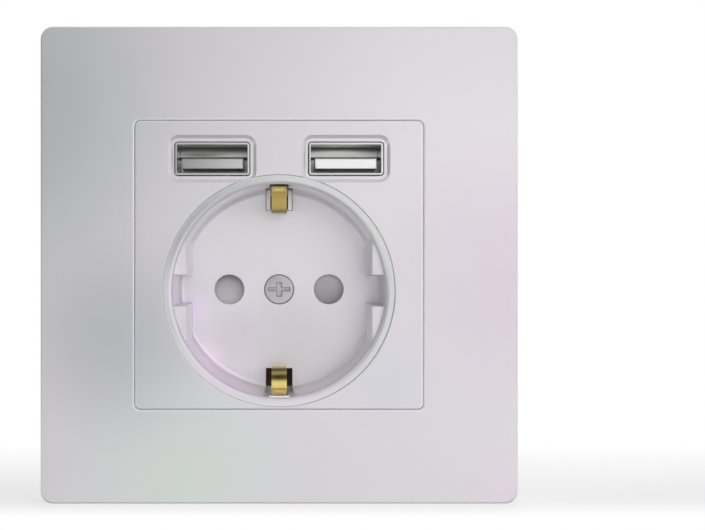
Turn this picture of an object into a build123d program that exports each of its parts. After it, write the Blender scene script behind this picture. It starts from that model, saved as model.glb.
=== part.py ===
from build123d import *
import os
from math import hypot, sqrt, tau

os.makedirs("parts", exist_ok=True)

# Flush wall socket with a round plug recess and two charging ports.
# Millimetres. The wall is the plane y = 0, the room is towards -y, up is +z.

# Fits
press = 0.04  # between fixed pieces that are pushed together
snug = 0.1  # between fixed pieces that slide together
running = 0.05  # radial, between a pivot and its hole
moving = 0.3  # between a moving piece and what it passes

# Outer frame
frame_size = 86.0
frame_depth = 9.5
frame_corner_r = 2.3
frame_edge_r = 0.35
frame_wall = 2.0
frame_face = 2.0
frame_rib_t = 1.2
frame_rib_x = 14.0
frame_rib_h = 3.0
pry_notch_w = 9.0
pry_notch_h = 1.4
window_edge_r = 0.3

# Cover plate, flush in the frame's window
cover_corner_r = 1.0
cover_t = 2.2
cover_lip = 0.5
cover_lip_w = 1.2
cover_edge_r = 0.3
cover_below_ring = 0.5  # plate left under the ring
cover_above_port = 3.917  # plate left over the ports
joint_gap = 0.06
ledge_w = 1.4
ledge_t = 1.2
collar_w = 1.6

# Plug recess
mouth_r = 19.3
mouth_edge_r = 0.7
recess_depth = 17.5
recess_taper = 0.25
floor_corner_r = 1.0
pot_wall = 1.0
pot_floor_t = 2.2
ring_over = 0.55
ring_edge_r = 0.2
ring_sink = 0.35
ring_t = 1.0
lug_reach = 2.8
lug_gap = 5.0
lug_sink = 2.0
lug_draft = 0.85
lug_edge = 0.2
floor_r = mouth_r - recess_taper
pot_r = mouth_r + pot_wall
ring_r = pot_r + ring_over
lug_x = mouth_r - lug_reach

# Pins, shutter and centre screw
pin_spacing = 19.0
pin_hole_r = 2.8
pin_hole_edge = 0.12
sleeve_in_r = 2.35
head_r = 2.8
head_t = 1.7
screw_r = 1.5
screw_len = 11.5
drive_slot_l = 4.35
drive_slot_w = 0.8
drive_cross_l = 2.85
drive_cross_w = 1.15
drive_depth = 0.9
nut_w = 5.5
nut_t = 2.4
pivot_r = 3.6
shutter_t = 2.0
shutter_hub_r = 5.6
shutter_over = 0.6  # wing beyond the pin hole, to each side
shutter_ramp = 1.5
spring_r = 4.7
spring_wire_r = 0.2
spring_leg_r = 0.19  # drawn thinner where it is bent over
spring_pitch = 0.45
spring_turns = 2
pin_x = pin_spacing / 2
shutter_w = 2 * (pin_hole_r + shutter_over)
shutter_reach = pin_x + pin_hole_r + 1.5 * shutter_over

# Earth clip
clip_w = 2.8
clip_t = 0.8
clip_clear = 0.8  # tip inside the mouth
clip_bulge = 5.45  # corner of the arch inside the tip
clip_step = 1.2  # root inside the tip
clip_bend_r = 1.0
clip_crease_r = 0.5
clip_arch_r = 6.7
clip_tip_cut = 0.5
clip_tip_sink = 2.4
clip_lead_sink = 4.0
clip_arch_sink = 7.0
web_w = 7.0
web_short = 5.3
notch_w = 5.1
notch_reach = 4.0
notch_rise = 6.5
slot_w = 3.4
clip_tip_r = mouth_r - clip_clear
clip_arch_corner_r = clip_tip_r - clip_bulge
clip_root_r = clip_tip_r - clip_step
web_half = clip_root_r - web_short
notch_in_r = floor_r - notch_reach

# Charging ports, side by side above the recess
shell_w = 13.4
shell_h = 5.85
shell_t = 0.33
shell_r = 0.5
shell_edge_r = 0.12
shell_len = 14.0
shell_proud = 0.1
pocket_side = 1.275
pocket_rise = 1.375
pocket_r = 2.0
pocket_depth = 0.55
pocket_slope = 0.6
pocket_gap = 8.17  # between the two pockets
shell_gap = 0.2  # round a shell, in the plate's window
port_clear = 1.26  # from the pot to a shell's nearest corner
guide_t = 1.2
guide_len = 2.5
tongue_side = 1.15
tongue_h = 1.84
tongue_drop = 0.82
tongue_sink = 0.7
tongue_len = 9.0
tongue_edge = 0.15
pin_w = 1.0
pin_t = 0.25
pin_pitch = 2.3
pin_sink = 1.8
pocket_w = shell_w + 2 * pocket_side
pocket_h = shell_h + 2 * pocket_rise
tongue_w = shell_w - 2 * tongue_side
port_x = (pocket_w + pocket_gap) / 2
port_rise = shell_h / 2 + sqrt((pot_r + port_clear) ** 2 - (port_x - shell_w / 2) ** 2)

# The plate's size, and where the recess and the ports sit on it
cover_size = cover_below_ring + ring_r + port_rise + shell_h / 2 + cover_above_port
recess_drop = cover_size / 2 - ring_r - cover_below_ring
port_z = port_rise - recess_drop
board_z = port_z + shell_h / 2

# Port board
board_t = 1.6
board_over = 0.7  # board on each ledge
board_front = -1.8
board_head = 0.615
board_ledge_t = 1.5
core_x = 13.0
core_y = 4.6
core_z = 11.2
core_leg = 3.4
core_yoke = 1.9
coil_y = 9.4
coil_r = 1.4
transformer_y = 24.4
input_cap_r = 2.6
input_cap_l = 12.0
output_cap_r = 2.4
output_cap_l = 7.0
cap_edge = 0.4
chip_in = 1.0
chip_w = 4.1
chip_l = 5.0
chip_t = 1.6
chip_back = 3.0
choke_r = 2.34
choke_core_r = 1.82
choke_h = 6.24
choke_rim = 1.6
fuse_r = 1.68
fuse_l = 6.5
feed_r = 0.6
input_cap_x = pin_x + feed_r + input_cap_r
board_ledge_x = input_cap_x + input_cap_r
board_x = board_ledge_x + board_over
chip_x = board_ledge_x - chip_in - chip_w / 2

# Housing
plate_t = 1.2
bore_gap = 0.3
bore_r = pot_r + bore_gap
chamber_side = 0.84
chamber_wall = 3.4
housing_wall = 1.7
housing_foot = 1.75
flange_t = 1.6
flange_w = 3.0
flange_z = 19.0
flange_notch = 4.4
partition_t = 2.5
shelf_drop = 1.385
shelf_t = 1.5
rear_y = 31.4
rear_cover_t = 1.6
boss_r = 2.4
low_boss_in = 4.4
low_boss_up = 7.6
high_boss_in = 2.8
high_boss_up = 7.1
bridge_x = 3.4
bridge_rise = 2.75
vent_w = 1.4
vent_l = 9.0
vent_pitch = 3.4
vent_count = 7
rear_bevel = 0.6
barrier_t = 1.0
barrier_h = 1.2
barrier_up = 3.4
barrier_down = 5.2
chamber_x = port_x + shell_w / 2 + chamber_side
housing_x = max(chamber_x, bore_r - pot_wall) + chamber_wall
housing_top = board_z + board_t + board_head + housing_wall
housing_bottom = recess_drop + bore_r + housing_foot
shell_corner = hypot(port_x + shell_w / 2 - shell_r, board_z - shell_r) + shell_r
board_corner = hypot(board_x, board_z + board_t)
housing_r = max(shell_corner, board_corner) + snug + housing_wall
flange_x = housing_x + flange_w
shelf_z = board_z - core_z - shelf_drop
bridge_top = clip_root_r - recess_drop + bridge_rise
low_boss = (housing_x - low_boss_in, low_boss_up - housing_bottom)
high_boss = (housing_x - high_boss_in, shelf_z + high_boss_up)

# Contacts and terminals
sleeve_t = 0.6
sleeve_slit = 1.0
strap_w = 5.0
strap_t = 0.8
strap_y = 24.0
strap_disc_r = 3.2
terminal_w = 6.4
terminal_h = 6.5
terminal_sink = 4.5
wire_rise = 3.3
wire_hole_r = 1.6
wire_hole_len = 5.6
wire_entry_r = 2.1
clamp_y = 28.2
clamp_r = 1.25
clamp_head_r = 2.1
clamp_head_t = 1.6
clamp_sink = 2.6
terminal_pitch = pin_x
terminal_bottom = terminal_sink - housing_bottom
terminal_top = terminal_bottom + terminal_h
wire_z = terminal_bottom + wire_rise
clamp_head_z = clamp_sink - housing_bottom

# Support plate and claws
plate_size = 71.0
plate_corner_r = 5.0
wall_screw_z = 30.0
wall_screw_r = 2.1
spare_slot_x = 25.0
spare_slot_z = 29.5
spare_slot_l = 10.0
spare_slot_w = 3.8
wall_screw_head_r = 3.6
fix_out = 1.4
fix_z = 12.0
fix_r = 1.0
fix_head_r = 1.9
fix_head_t = 1.2
fix_drive_l = 2.4
fix_drive_w = 0.55
fix_drive_depth = 0.7
fix_len = 4.2
claw_out = 6.4
claw_y = 3.0
claw_w = 8.4
claw_t = 1.4
claw_hub_r = 1.7
claw_arm_over = 1.2
claw_foot_in = 1.6
claw_foot_l = 15.0
claw_toe_out = 0.8
claw_toe_l = 17.6
claw_bend_r = 1.2
trunnion_r = 1.2
ear_t = 1.0
ear_half = 1.9
claw_screw_out = 2.0
claw_screw_r = 1.5
claw_screw_head_r = 2.5
claw_screw_head_t = 1.8
claw_screw_tip_r = 0.3
claw_screw_travel = 1.5
claw_screw_touch = 0.1
thread_collar_r = 1.95
thread_collar_l = 1.0
fix_x = housing_x + fix_out
claw_x = housing_x + claw_out
claw_screw_x = housing_x + claw_screw_out
claw_arm_in = claw_screw_x - claw_arm_over
claw_foot = (claw_x - claw_foot_in, claw_y + claw_foot_l)
claw_toe = (claw_x + claw_toe_out, claw_y + claw_toe_l)

# Places that follow from the sizes above
face_y = -frame_depth
ledge_y = face_y + cover_t + cover_lip
cover_back_y = face_y + cover_t
ring_y = face_y + ring_sink
ring_back_y = ring_y + ring_t
floor_y = face_y + recess_depth
pot_back_y = floor_y + pot_floor_t
lug_top_y = face_y + lug_sink
shutter_y = pot_back_y + moving
partition_y = shutter_y + shutter_t + moving
partition_back_y = partition_y + partition_t
web_back_y = partition_back_y + clip_t
sleeve_r = sleeve_in_r + sleeve_t
flange_y = -plate_t - flange_t
cover_y = rear_y + rear_cover_t
strap_back_y = strap_y + strap_t
pocket_y = face_y + pocket_depth
shell_y = pocket_y - shell_proud
shell_back_y = shell_y + shell_len
tongue_y = shell_y + tongue_sink
tongue_root_y = tongue_y + tongue_len
tongue_z = port_z - tongue_drop
tongue_top = tongue_z + tongue_h / 2
port_places = [(-port_x, port_z), (port_x, port_z)]
pin_places = [(-pin_x, -recess_drop), (pin_x, -recess_drop)]
recess_axis = Axis((0, 0, -recess_drop), (0, 1, 0))
terminal_places = {"line": terminal_pitch, "earth": 0.0, "neutral": -terminal_pitch}
sides = {"left": -1, "right": 1}


def at(y):
    """Plane parallel to the wall at depth y, seen from the room: x right, z up."""
    return Plane.XZ.offset(-y)


def block(x0, x1, y0, y1, z0, z1, mode=Mode.ADD):
    """Box between two corners."""
    with BuildSketch(at(y1)) as profile:
        with Locations(((x0 + x1) / 2, (z0 + z1) / 2)):
            Rectangle(abs(x1 - x0), z1 - z0)
    extrude(profile.sketch, amount=y1 - y0, mode=mode)


def rod(radius, y0, y1, x=0.0, z=0.0, mode=Mode.ADD):
    """Cylinder along the depth, from y0 to y1."""
    with BuildSketch(at(y1)) as profile:
        with Locations((x, z)):
            Circle(radius)
    extrude(profile.sketch, amount=y1 - y0, mode=mode)


def post(radius, z0, z1, x, y, mode=Mode.ADD):
    """Upright cylinder from z0 to z1."""
    with BuildSketch(Plane.XY.offset(z0)) as profile:
        with Locations((x, y)):
            Circle(radius)
    extrude(profile.sketch, amount=z1 - z0, mode=mode)


def housing_outline(inset):
    """Outline of the housing seen from the room: a box trimmed by the wall box's circle."""
    Circle(housing_r - inset)
    with Locations((0, (housing_top - housing_bottom) / 2)):
        Rectangle(
            2 * (housing_x - inset),
            housing_top + housing_bottom - 2 * inset,
            mode=Mode.INTERSECT,
        )


def cross_drive(length, width, y0, y1, x, z):
    """Crossed slots cut into a screw head between two depths."""
    for half_x, half_z in ((length / 2, width / 2), (width / 2, length / 2)):
        block(x - half_x, x + half_x, y0, y1, z - half_z, z + half_z, Mode.SUBTRACT)


def save(piece, name):
    piece.part.label = name
    export_step(piece.part, f"parts/{name}.step")


# Outer frame: a hollow square with a collar and a ledge that carries the cover plate
with BuildPart() as outer_frame:
    with BuildSketch(at(0)):
        RectangleRounded(frame_size, frame_size, frame_corner_r)
    extrude(amount=frame_depth)
    fillet(outer_frame.faces().sort_by(Axis.Y)[0].edges(), frame_edge_r)
    with BuildSketch(at(0)):
        inside = frame_size - 2 * frame_wall
        RectangleRounded(inside, inside, frame_corner_r)
    extrude(amount=frame_depth - frame_face, mode=Mode.SUBTRACT)
    collar_size = cover_size + 2 * (joint_gap + collar_w)
    with BuildSketch(at(ledge_y + ledge_t)):
        RectangleRounded(collar_size, collar_size, cover_corner_r + collar_w)
    extrude(until=Until.NEXT)
    with BuildSketch(at(face_y + frame_face + frame_rib_h)):
        with Locations((0, frame_rib_x), (0, -frame_rib_x)):
            Rectangle(inside, frame_rib_t)
        with Locations((frame_rib_x, 0), (-frame_rib_x, 0)):
            Rectangle(frame_rib_t, inside)
        Rectangle(collar_size, collar_size, mode=Mode.SUBTRACT)
    extrude(amount=frame_rib_h)
    window_size = cover_size + 2 * joint_gap
    with BuildSketch(at(ledge_y)):
        RectangleRounded(window_size, window_size, cover_corner_r + joint_gap)
    extrude(amount=frame_depth, mode=Mode.SUBTRACT)
    with BuildSketch(at(ledge_y + ledge_t)):
        opening = cover_size - 2 * ledge_w
        RectangleRounded(opening, opening, cover_corner_r)
        with Locations((0, -recess_drop)):
            Circle(bore_r + moving)
    extrude(amount=ledge_t, mode=Mode.SUBTRACT)
    fillet(outer_frame.faces().sort_by(Axis.Y)[0].inner_wires()[0].edges(), window_edge_r)
    with BuildSketch(at(0)):
        with Locations((0, -frame_size / 2)):
            Rectangle(pry_notch_w, 4 * frame_wall)
    extrude(amount=pry_notch_h, mode=Mode.SUBTRACT)
save(outer_frame, "outer_frame")

# Cover plate: flush plate with the stepped round hole and a sloped pocket for each port
with BuildPart() as cover_plate:
    with BuildSketch(at(cover_back_y)):
        RectangleRounded(cover_size, cover_size, cover_corner_r)
    extrude(amount=cover_t)
    fillet(cover_plate.faces().sort_by(Axis.Y)[0].edges(), cover_edge_r)
    rod(ring_r + press, face_y, ring_back_y, z=-recess_drop, mode=Mode.SUBTRACT)
    fillet(cover_plate.faces().sort_by(Axis.Y)[0].inner_wires()[0].edges(), ring_edge_r)
    with BuildSketch(at(ledge_y)):
        RectangleRounded(cover_size, cover_size, cover_corner_r)
        within = cover_size - 2 * cover_lip_w
        Rectangle(within, within, mode=Mode.SUBTRACT)
    extrude(amount=cover_lip)
    guide_w = shell_w + 2 * (snug + guide_t)
    guide_h = shell_h + 2 * (snug + guide_t)
    with BuildSketch(at(cover_back_y + guide_len)):
        with Locations(port_places):
            RectangleRounded(guide_w, guide_h, shell_r + guide_t)
    extrude(amount=guide_len)
    for x, z in port_places:
        with BuildSketch(at(face_y)):
            with Locations((x, z)):
                RectangleRounded(pocket_w, pocket_h, pocket_r)
        with BuildSketch(at(pocket_y)):
            with Locations((x, z)):
                RectangleRounded(
                    pocket_w - 2 * pocket_slope,
                    pocket_h - 2 * pocket_slope,
                    pocket_r - pocket_slope,
                )
        loft(mode=Mode.SUBTRACT)
    with BuildSketch(at(cover_back_y + guide_len)):
        with Locations(port_places):
            RectangleRounded(shell_w + 2 * snug, shell_h + 2 * snug, shell_r + snug)
    extrude(amount=guide_len + cover_t, mode=Mode.SUBTRACT)
    with BuildSketch(at(cover_back_y)):
        with Locations(port_places):
            RectangleRounded(shell_w + 2 * shell_gap, shell_h + 2 * shell_gap, shell_r + shell_gap)
    extrude(amount=cover_t, mode=Mode.SUBTRACT)
    rod(pot_r + snug, ring_back_y, cover_back_y + guide_len, z=-recess_drop, mode=Mode.SUBTRACT)
save(cover_plate, "cover_plate")

# Socket pot: the round plug recess, turned about its axis, with four lugs and two clip slots
with BuildPart() as socket_pot:
    with BuildSketch(Plane.YZ):
        with BuildLine():
            Polyline(
                (floor_y, -recess_drop),
                (floor_y, floor_r - recess_drop),
                (ring_y, mouth_r - recess_drop),
                (ring_y, ring_r - recess_drop),
                (ring_back_y, ring_r - recess_drop),
                (ring_back_y, pot_r - recess_drop),
                (pot_back_y, pot_r - recess_drop),
                (pot_back_y, -recess_drop),
                close=True,
            )
        make_face()
    revolve(axis=recess_axis)
    mouth_edge = socket_pot.edges().filter_by(lambda e: abs(e.length - tau * mouth_r) < 0.01)
    fillet(mouth_edge, mouth_edge_r)
    floor_edge = socket_pot.edges().filter_by(lambda e: abs(e.length - tau * floor_r) < 0.01)
    fillet(floor_edge, floor_corner_r)
    with BuildSketch(at(floor_y + pot_floor_t / 2)):
        with Locations((0, -recess_drop)):
            Circle((mouth_r + pot_r) / 2)
            Rectangle(2 * lug_x, 2 * pot_r, mode=Mode.SUBTRACT)
            Rectangle(2 * pot_r, lug_gap, mode=Mode.SUBTRACT)
    extrude(amount=floor_y + pot_floor_t / 2 - lug_top_y, taper=lug_draft)
    lug_tops = socket_pot.faces().filter_by(
        lambda f: f.geom_type == GeomType.PLANE and abs(f.center().Y - lug_top_y) < 0.01
    )
    chamfer(lug_tops.edges().filter_by(GeomType.LINE), lug_edge)
    rod(pivot_r, pot_back_y, partition_y, z=-recess_drop)
    for way in (1, -1):
        inner = notch_in_r * way - recess_drop
        outer = (ring_r + moving) * way - recess_drop
        low, high = min(inner, outer), max(inner, outer)
        block(-notch_w / 2, notch_w / 2, floor_y - notch_rise, pot_back_y, low, high, Mode.SUBTRACT)
        block(-slot_w / 2, slot_w / 2, ring_back_y, floor_y, low, high, Mode.SUBTRACT)
    for x, z in pin_places:
        rod(pin_hole_r, floor_y, pot_back_y, x, z, Mode.SUBTRACT)
    pin_rims = socket_pot.edges().filter_by(
        lambda e: abs(e.length - tau * pin_hole_r) < 0.01 and abs(e.center().Y - floor_y) < 0.01
    )
    chamfer(pin_rims, pin_hole_edge)
    rod(head_r + snug, floor_y, floor_y + head_t, z=-recess_drop, mode=Mode.SUBTRACT)
    rod(screw_r + snug, floor_y, partition_y, z=-recess_drop, mode=Mode.SUBTRACT)
save(socket_pot, "socket_pot")

# Centre screw with a long slot and a short cross
with BuildPart() as centre_screw:
    rod(head_r, floor_y, floor_y + head_t, z=-recess_drop)
    fillet(centre_screw.edges().group_by(Axis.Y)[0], drive_depth / 3)
    rod(screw_r, floor_y + head_t, floor_y + head_t + screw_len, z=-recess_drop)
    chamfer(centre_screw.edges().group_by(Axis.Y)[-1], screw_r / 3)
    with BuildSketch(at(floor_y + drive_depth)):
        with Locations((0, -recess_drop)):
            Rectangle(drive_slot_l, drive_slot_w)
            Rectangle(drive_cross_w, drive_cross_l)
    extrude(amount=drive_depth, mode=Mode.SUBTRACT)
save(centre_screw, "centre_screw")

with BuildPart() as screw_nut:
    with BuildSketch(at(web_back_y + nut_t)):
        with Locations((0, -recess_drop)):
            Rectangle(nut_w, nut_w)
            Circle(screw_r + running, mode=Mode.SUBTRACT)
    extrude(amount=nut_t)
save(screw_nut, "screw_nut")

# Shutter: a two-winged rotor on the pot's pivot, each wing with a ramp that a pin pushes aside
with BuildPart() as shutter:
    with BuildSketch(at(shutter_y + shutter_t)):
        with Locations((0, -recess_drop)):
            SlotOverall(2 * shutter_reach, shutter_w)
            Circle(shutter_hub_r)
            Circle(pivot_r + running, mode=Mode.SUBTRACT)
    extrude(amount=shutter_t)
    for way in (1, -1):
        with BuildSketch(Plane.YZ.offset(way * shutter_hub_r)):
            with BuildLine():
                Polyline(
                    (shutter_y, -recess_drop + way * shutter_w / 4),
                    (shutter_y, -recess_drop - way * shutter_w),
                    (shutter_y + 2 * shutter_ramp, -recess_drop - way * shutter_w),
                    close=True,
                )
            make_face()
        extrude(amount=way * shutter_reach, mode=Mode.SUBTRACT)
    leg_hole = 2 * spring_wire_r
    leg_z = spring_r - recess_drop
    rod(leg_hole, shutter_y + shutter_t / 2, shutter_y + shutter_t, 0, leg_z, Mode.SUBTRACT)
save(shutter, "shutter")

# Shutter spring: two turns round the pivot, one leg in the rotor and one in the housing
spring_y = partition_y + 2 * spring_wire_r
spring_end_y = spring_y + spring_pitch * spring_turns
spring_reach = leg_z + 5 * spring_wire_r
with BuildPart() as shutter_spring:
    with BuildLine() as spring_path:
        Helix(
            spring_pitch,
            spring_pitch * spring_turns,
            spring_r,
            center=(0, spring_y, -recess_drop),
            direction=(0, 1, 0),
        )
    with BuildSketch(Plane(spring_path.line @ 0, z_dir=spring_path.line % 0)):
        Circle(spring_wire_r)
    sweep(path=spring_path.line, is_frenet=True)
    rod(spring_leg_r, shutter_y + shutter_t * 0.6, spring_y + spring_wire_r / 2, 0, leg_z)
    post(spring_leg_r, leg_z - spring_wire_r / 2, spring_reach, 0, spring_end_y)
save(shutter_spring, "shutter_spring")

# Earth clip: one bent strip with a sprung tongue at each end, joined by a web behind the pot
with BuildPart() as earth_clip:
    clip_side = [
        (face_y + clip_tip_sink, clip_tip_r),
        (face_y + clip_lead_sink, clip_tip_r - clip_t / 2),
        (face_y + clip_arch_sink, clip_arch_corner_r),
        (floor_y + pot_floor_t / 2, clip_root_r),
        (partition_back_y + clip_t / 2, clip_root_r),
    ]
    upper = [(y, r - recess_drop) for y, r in clip_side]
    lower = [(y, -r - recess_drop) for y, r in reversed(clip_side)]
    bends = [clip_crease_r, clip_arch_r, clip_bend_r, clip_bend_r]
    with BuildSketch(Plane.YZ.offset(-clip_w / 2)):
        with BuildLine():
            FilletPolyline(*upper, *lower, radius=[*bends, *reversed(bends)])
        trace(line_width=clip_t)
    extrude(amount=clip_w)
    block(
        -web_w / 2,
        web_w / 2,
        partition_back_y,
        web_back_y,
        -web_half - recess_drop,
        web_half - recess_drop,
    )
    tip_y = face_y + clip_tip_sink - clip_t
    with BuildSketch(Plane.XY.offset(-clip_tip_r - clip_t - recess_drop)):
        for way in (1, -1):
            with BuildLine():
                Polyline(
                    (way * (clip_w / 2 - clip_tip_cut - clip_t), tip_y),
                    (way * clip_w, tip_y),
                    (way * clip_w / 2, tip_y + clip_tip_cut + clip_t),
                    close=True,
                )
            make_face()
    extrude(amount=2 * (clip_tip_r + clip_t), mode=Mode.SUBTRACT)
    rod(screw_r + moving, partition_back_y, web_back_y, z=-recess_drop, mode=Mode.SUBTRACT)
    block(
        -strap_w / 2,
        strap_w / 2,
        partition_back_y,
        rear_y - clip_t,
        terminal_top,
        terminal_top + clip_t,
    )
save(earth_clip, "earth_clip")

# Housing: one moulding that takes the pot and ports from the room and the contacts from behind
with BuildPart() as housing_body:
    with BuildSketch(at(rear_y)):
        housing_outline(0)
    extrude(amount=rear_y - flange_y)
    for way in (1, -1):
        block(
            min(way * flange_x, way * chamber_x),
            max(way * flange_x, way * chamber_x),
            flange_y,
            -plate_t,
            -flange_z,
            flange_z,
        )
        block(
            min(way * flange_x, way * housing_x),
            max(way * flange_x, way * housing_x),
            flange_y,
            -plate_t,
            -flange_notch,
            flange_notch,
            Mode.SUBTRACT,
        )
    rod(bore_r, flange_y, partition_y, z=-recess_drop, mode=Mode.SUBTRACT)
    with BuildSketch(at(rear_y)):
        housing_outline(housing_wall)
        with Locations((0, shelf_z + housing_top / 2)):
            Rectangle(2 * chamber_x, housing_top, mode=Mode.INTERSECT)
    extrude(amount=rear_y - flange_y, mode=Mode.SUBTRACT)
    block(-2 * bridge_x, 2 * bridge_x, partition_y, web_back_y + clip_t, shelf_z - shelf_t, bridge_top)
    with BuildSketch(at(rear_y)):
        housing_outline(housing_wall)
        with Locations((0, shelf_z - shelf_t - housing_bottom)):
            Rectangle(2 * housing_x, 2 * housing_bottom, mode=Mode.INTERSECT)
    extrude(amount=rear_y - partition_back_y, mode=Mode.SUBTRACT)
    block(
        -bridge_x,
        bridge_x,
        partition_back_y,
        web_back_y + clip_t,
        shelf_z - 2 * shelf_t,
        bridge_top - shelf_t,
        Mode.SUBTRACT,
    )
    for way in (1, -1):
        head_path_r = claw_screw_head_r + moving
        rod(head_path_r, flange_y, -plate_t, way * claw_screw_x, mode=Mode.SUBTRACT)
        rod(boss_r, partition_back_y, rear_y, way * low_boss[0], low_boss[1])
        rod(boss_r, strap_y - boss_r, rear_y, way * high_boss[0], high_boss[1])
        ledge_out = way * chamber_x
        ledge_in = way * board_ledge_x
        block(
            min(ledge_in, ledge_out),
            max(ledge_in, ledge_out),
            partition_y,
            rear_y,
            board_z - board_ledge_t,
            board_z,
        )
    for x, z in pin_places:
        rod(sleeve_r + snug, partition_y, partition_back_y, x, z, Mode.SUBTRACT)
        post(feed_r + moving, shelf_z - 2 * shelf_t, shelf_z, x, strap_back_y + feed_r, Mode.SUBTRACT)
    block(
        -clip_w / 2 - moving,
        clip_w / 2 + moving,
        partition_y,
        partition_back_y,
        clip_root_r - clip_t - clip_bend_r - recess_drop,
        clip_root_r + clip_t - recess_drop,
        Mode.SUBTRACT,
    )
    block(
        -notch_w / 2,
        notch_w / 2,
        partition_y,
        partition_back_y,
        -clip_root_r - 2 * clip_t - recess_drop,
        -notch_in_r - recess_drop,
        Mode.SUBTRACT,
    )
    # two ribs that fill the upper floor notch beside the clip
    for way in (1, -1):
        rib_in = way * (clip_w / 2 + moving)
        rib_out = way * (notch_w / 2 - snug)
        block(
            min(rib_in, rib_out),
            max(rib_in, rib_out),
            floor_y + moving,
            partition_y,
            notch_in_r + snug - recess_drop,
            floor_r - snug - recess_drop,
        )
    # ring-shaped seat of the shutter spring
    with BuildSketch(at(partition_y + 2 * spring_wire_r * (spring_turns + 2))):
        with Locations((0, -recess_drop)):
            Circle(spring_r + 3 * spring_wire_r)
            Circle(spring_r - 3 * spring_wire_r, mode=Mode.SUBTRACT)
    extrude(amount=2 * spring_wire_r * (spring_turns + 2), mode=Mode.SUBTRACT)
    leg_half = spring_wire_r + snug
    block(
        -leg_half,
        leg_half,
        partition_y,
        spring_end_y + leg_half,
        leg_z,
        spring_reach + snug,
        Mode.SUBTRACT,
    )
    rod(screw_r + snug, partition_y, partition_back_y, z=-recess_drop, mode=Mode.SUBTRACT)
    for x in terminal_places.values():
        post(clamp_head_r + moving, -housing_bottom, clamp_head_z, x, clamp_y, Mode.SUBTRACT)
    for x, z in (low_boss, high_boss):
        rod(fix_r + snug, rear_y - 6 * fix_r, rear_y, x, z, Mode.SUBTRACT)
        rod(fix_r + snug, rear_y - 6 * fix_r, rear_y, -x, z, Mode.SUBTRACT)
    for x in (fix_x, -fix_x):
        for z in (fix_z, -fix_z):
            rod(fix_r + snug, flange_y, -plate_t, x, z, Mode.SUBTRACT)
    for z in (wall_screw_z, -wall_screw_z):
        rod(wall_screw_head_r, flange_y, 0, 0, z, Mode.SUBTRACT)
save(housing_body, "housing_body")

# Contact carrier: fills the rear cavity and holds the sleeves, the nut and the terminals
with BuildPart() as contact_carrier:
    with BuildSketch(at(rear_y)):
        housing_outline(housing_wall + snug)
        with Locations((0, shelf_z - shelf_t - snug - housing_bottom)):
            Rectangle(2 * housing_x, 2 * housing_bottom, mode=Mode.INTERSECT)
        with Locations(low_boss, (-low_boss[0], low_boss[1])):
            Circle(boss_r + snug, mode=Mode.SUBTRACT)
    extrude(amount=rear_y - partition_back_y)
    block(
        snug - bridge_x,
        bridge_x - snug,
        web_back_y,
        web_back_y + clip_t,
        shelf_z - 3 * shelf_t,
        bridge_top - shelf_t - snug,
    )
    block(
        -web_w / 2 - snug,
        web_w / 2 + snug,
        partition_back_y,
        web_back_y,
        -clip_root_r - clip_t - recess_drop,
        shelf_z,
        Mode.SUBTRACT,
    )
    nut_half = nut_w / 2 + snug
    nut_back_y = web_back_y + nut_t
    block(
        -nut_half,
        nut_half,
        web_back_y,
        nut_back_y,
        -nut_half - recess_drop,
        nut_half - recess_drop,
        Mode.SUBTRACT,
    )
    rod(
        screw_r + moving,
        nut_back_y,
        floor_y + head_t + screw_len + moving,
        z=-recess_drop,
        mode=Mode.SUBTRACT,
    )
    for x in terminal_places.values():
        half = terminal_w / 2 + snug
        top = terminal_top + clip_t + snug if x == 0 else strap_disc_r - recess_drop + snug
        block(
            x - half,
            x + half,
            strap_back_y if x == 0 else strap_y,
            rear_y,
            terminal_bottom - snug,
            top,
            Mode.SUBTRACT,
        )
        post(clamp_head_r + moving, -housing_bottom, terminal_bottom, x, clamp_y, Mode.SUBTRACT)
    block(
        -strap_w / 2 - snug,
        strap_w / 2 + snug,
        web_back_y,
        rear_y,
        terminal_top,
        terminal_top + clip_t + snug,
        Mode.SUBTRACT,
    )
    for x, z in pin_places:
        rod(sleeve_r + moving, partition_back_y, strap_y, x, z, Mode.SUBTRACT)
        post(feed_r + moving, z, shelf_z, x, strap_back_y + feed_r, Mode.SUBTRACT)
save(contact_carrier, "contact_carrier")

# Line and neutral contacts: a slit sleeve for the pin on a strap that runs to the terminal
for name, way in (("line_contact", 1), ("neutral_contact", -1)):
    x = way * pin_x
    with BuildPart() as contact:
        with BuildSketch(at(strap_y)):
            with Locations((x, -recess_drop)):
                Circle(sleeve_r)
                Circle(sleeve_in_r, mode=Mode.SUBTRACT)
            with Locations((x, sleeve_r - recess_drop)):
                Rectangle(sleeve_slit, 2 * sleeve_r, mode=Mode.SUBTRACT)
        extrude(amount=strap_y - partition_back_y)
        rod(strap_disc_r, strap_y, strap_back_y, x, -recess_drop)
        block(x - strap_w / 2, x + strap_w / 2, strap_y, strap_back_y, terminal_bottom, -recess_drop)
        rod(sleeve_in_r, strap_y, strap_back_y, x, -recess_drop, Mode.SUBTRACT)
    save(contact, name)

# Terminals: brass pillars with a wire hole from behind and a clamp screw from below
for name, x in terminal_places.items():
    with BuildPart() as terminal:
        block(
            x - terminal_w / 2,
            x + terminal_w / 2,
            strap_back_y,
            rear_y,
            terminal_bottom,
            terminal_top,
        )
        chamfer(terminal.edges().filter_by(Axis.Y), running * 6)
        rod(wire_hole_r, rear_y - wire_hole_len, rear_y, x, wire_z, Mode.SUBTRACT)
        post(clamp_r + running, terminal_bottom, wire_z, x, clamp_y, Mode.SUBTRACT)
    save(terminal, f"{name}_terminal")

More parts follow.
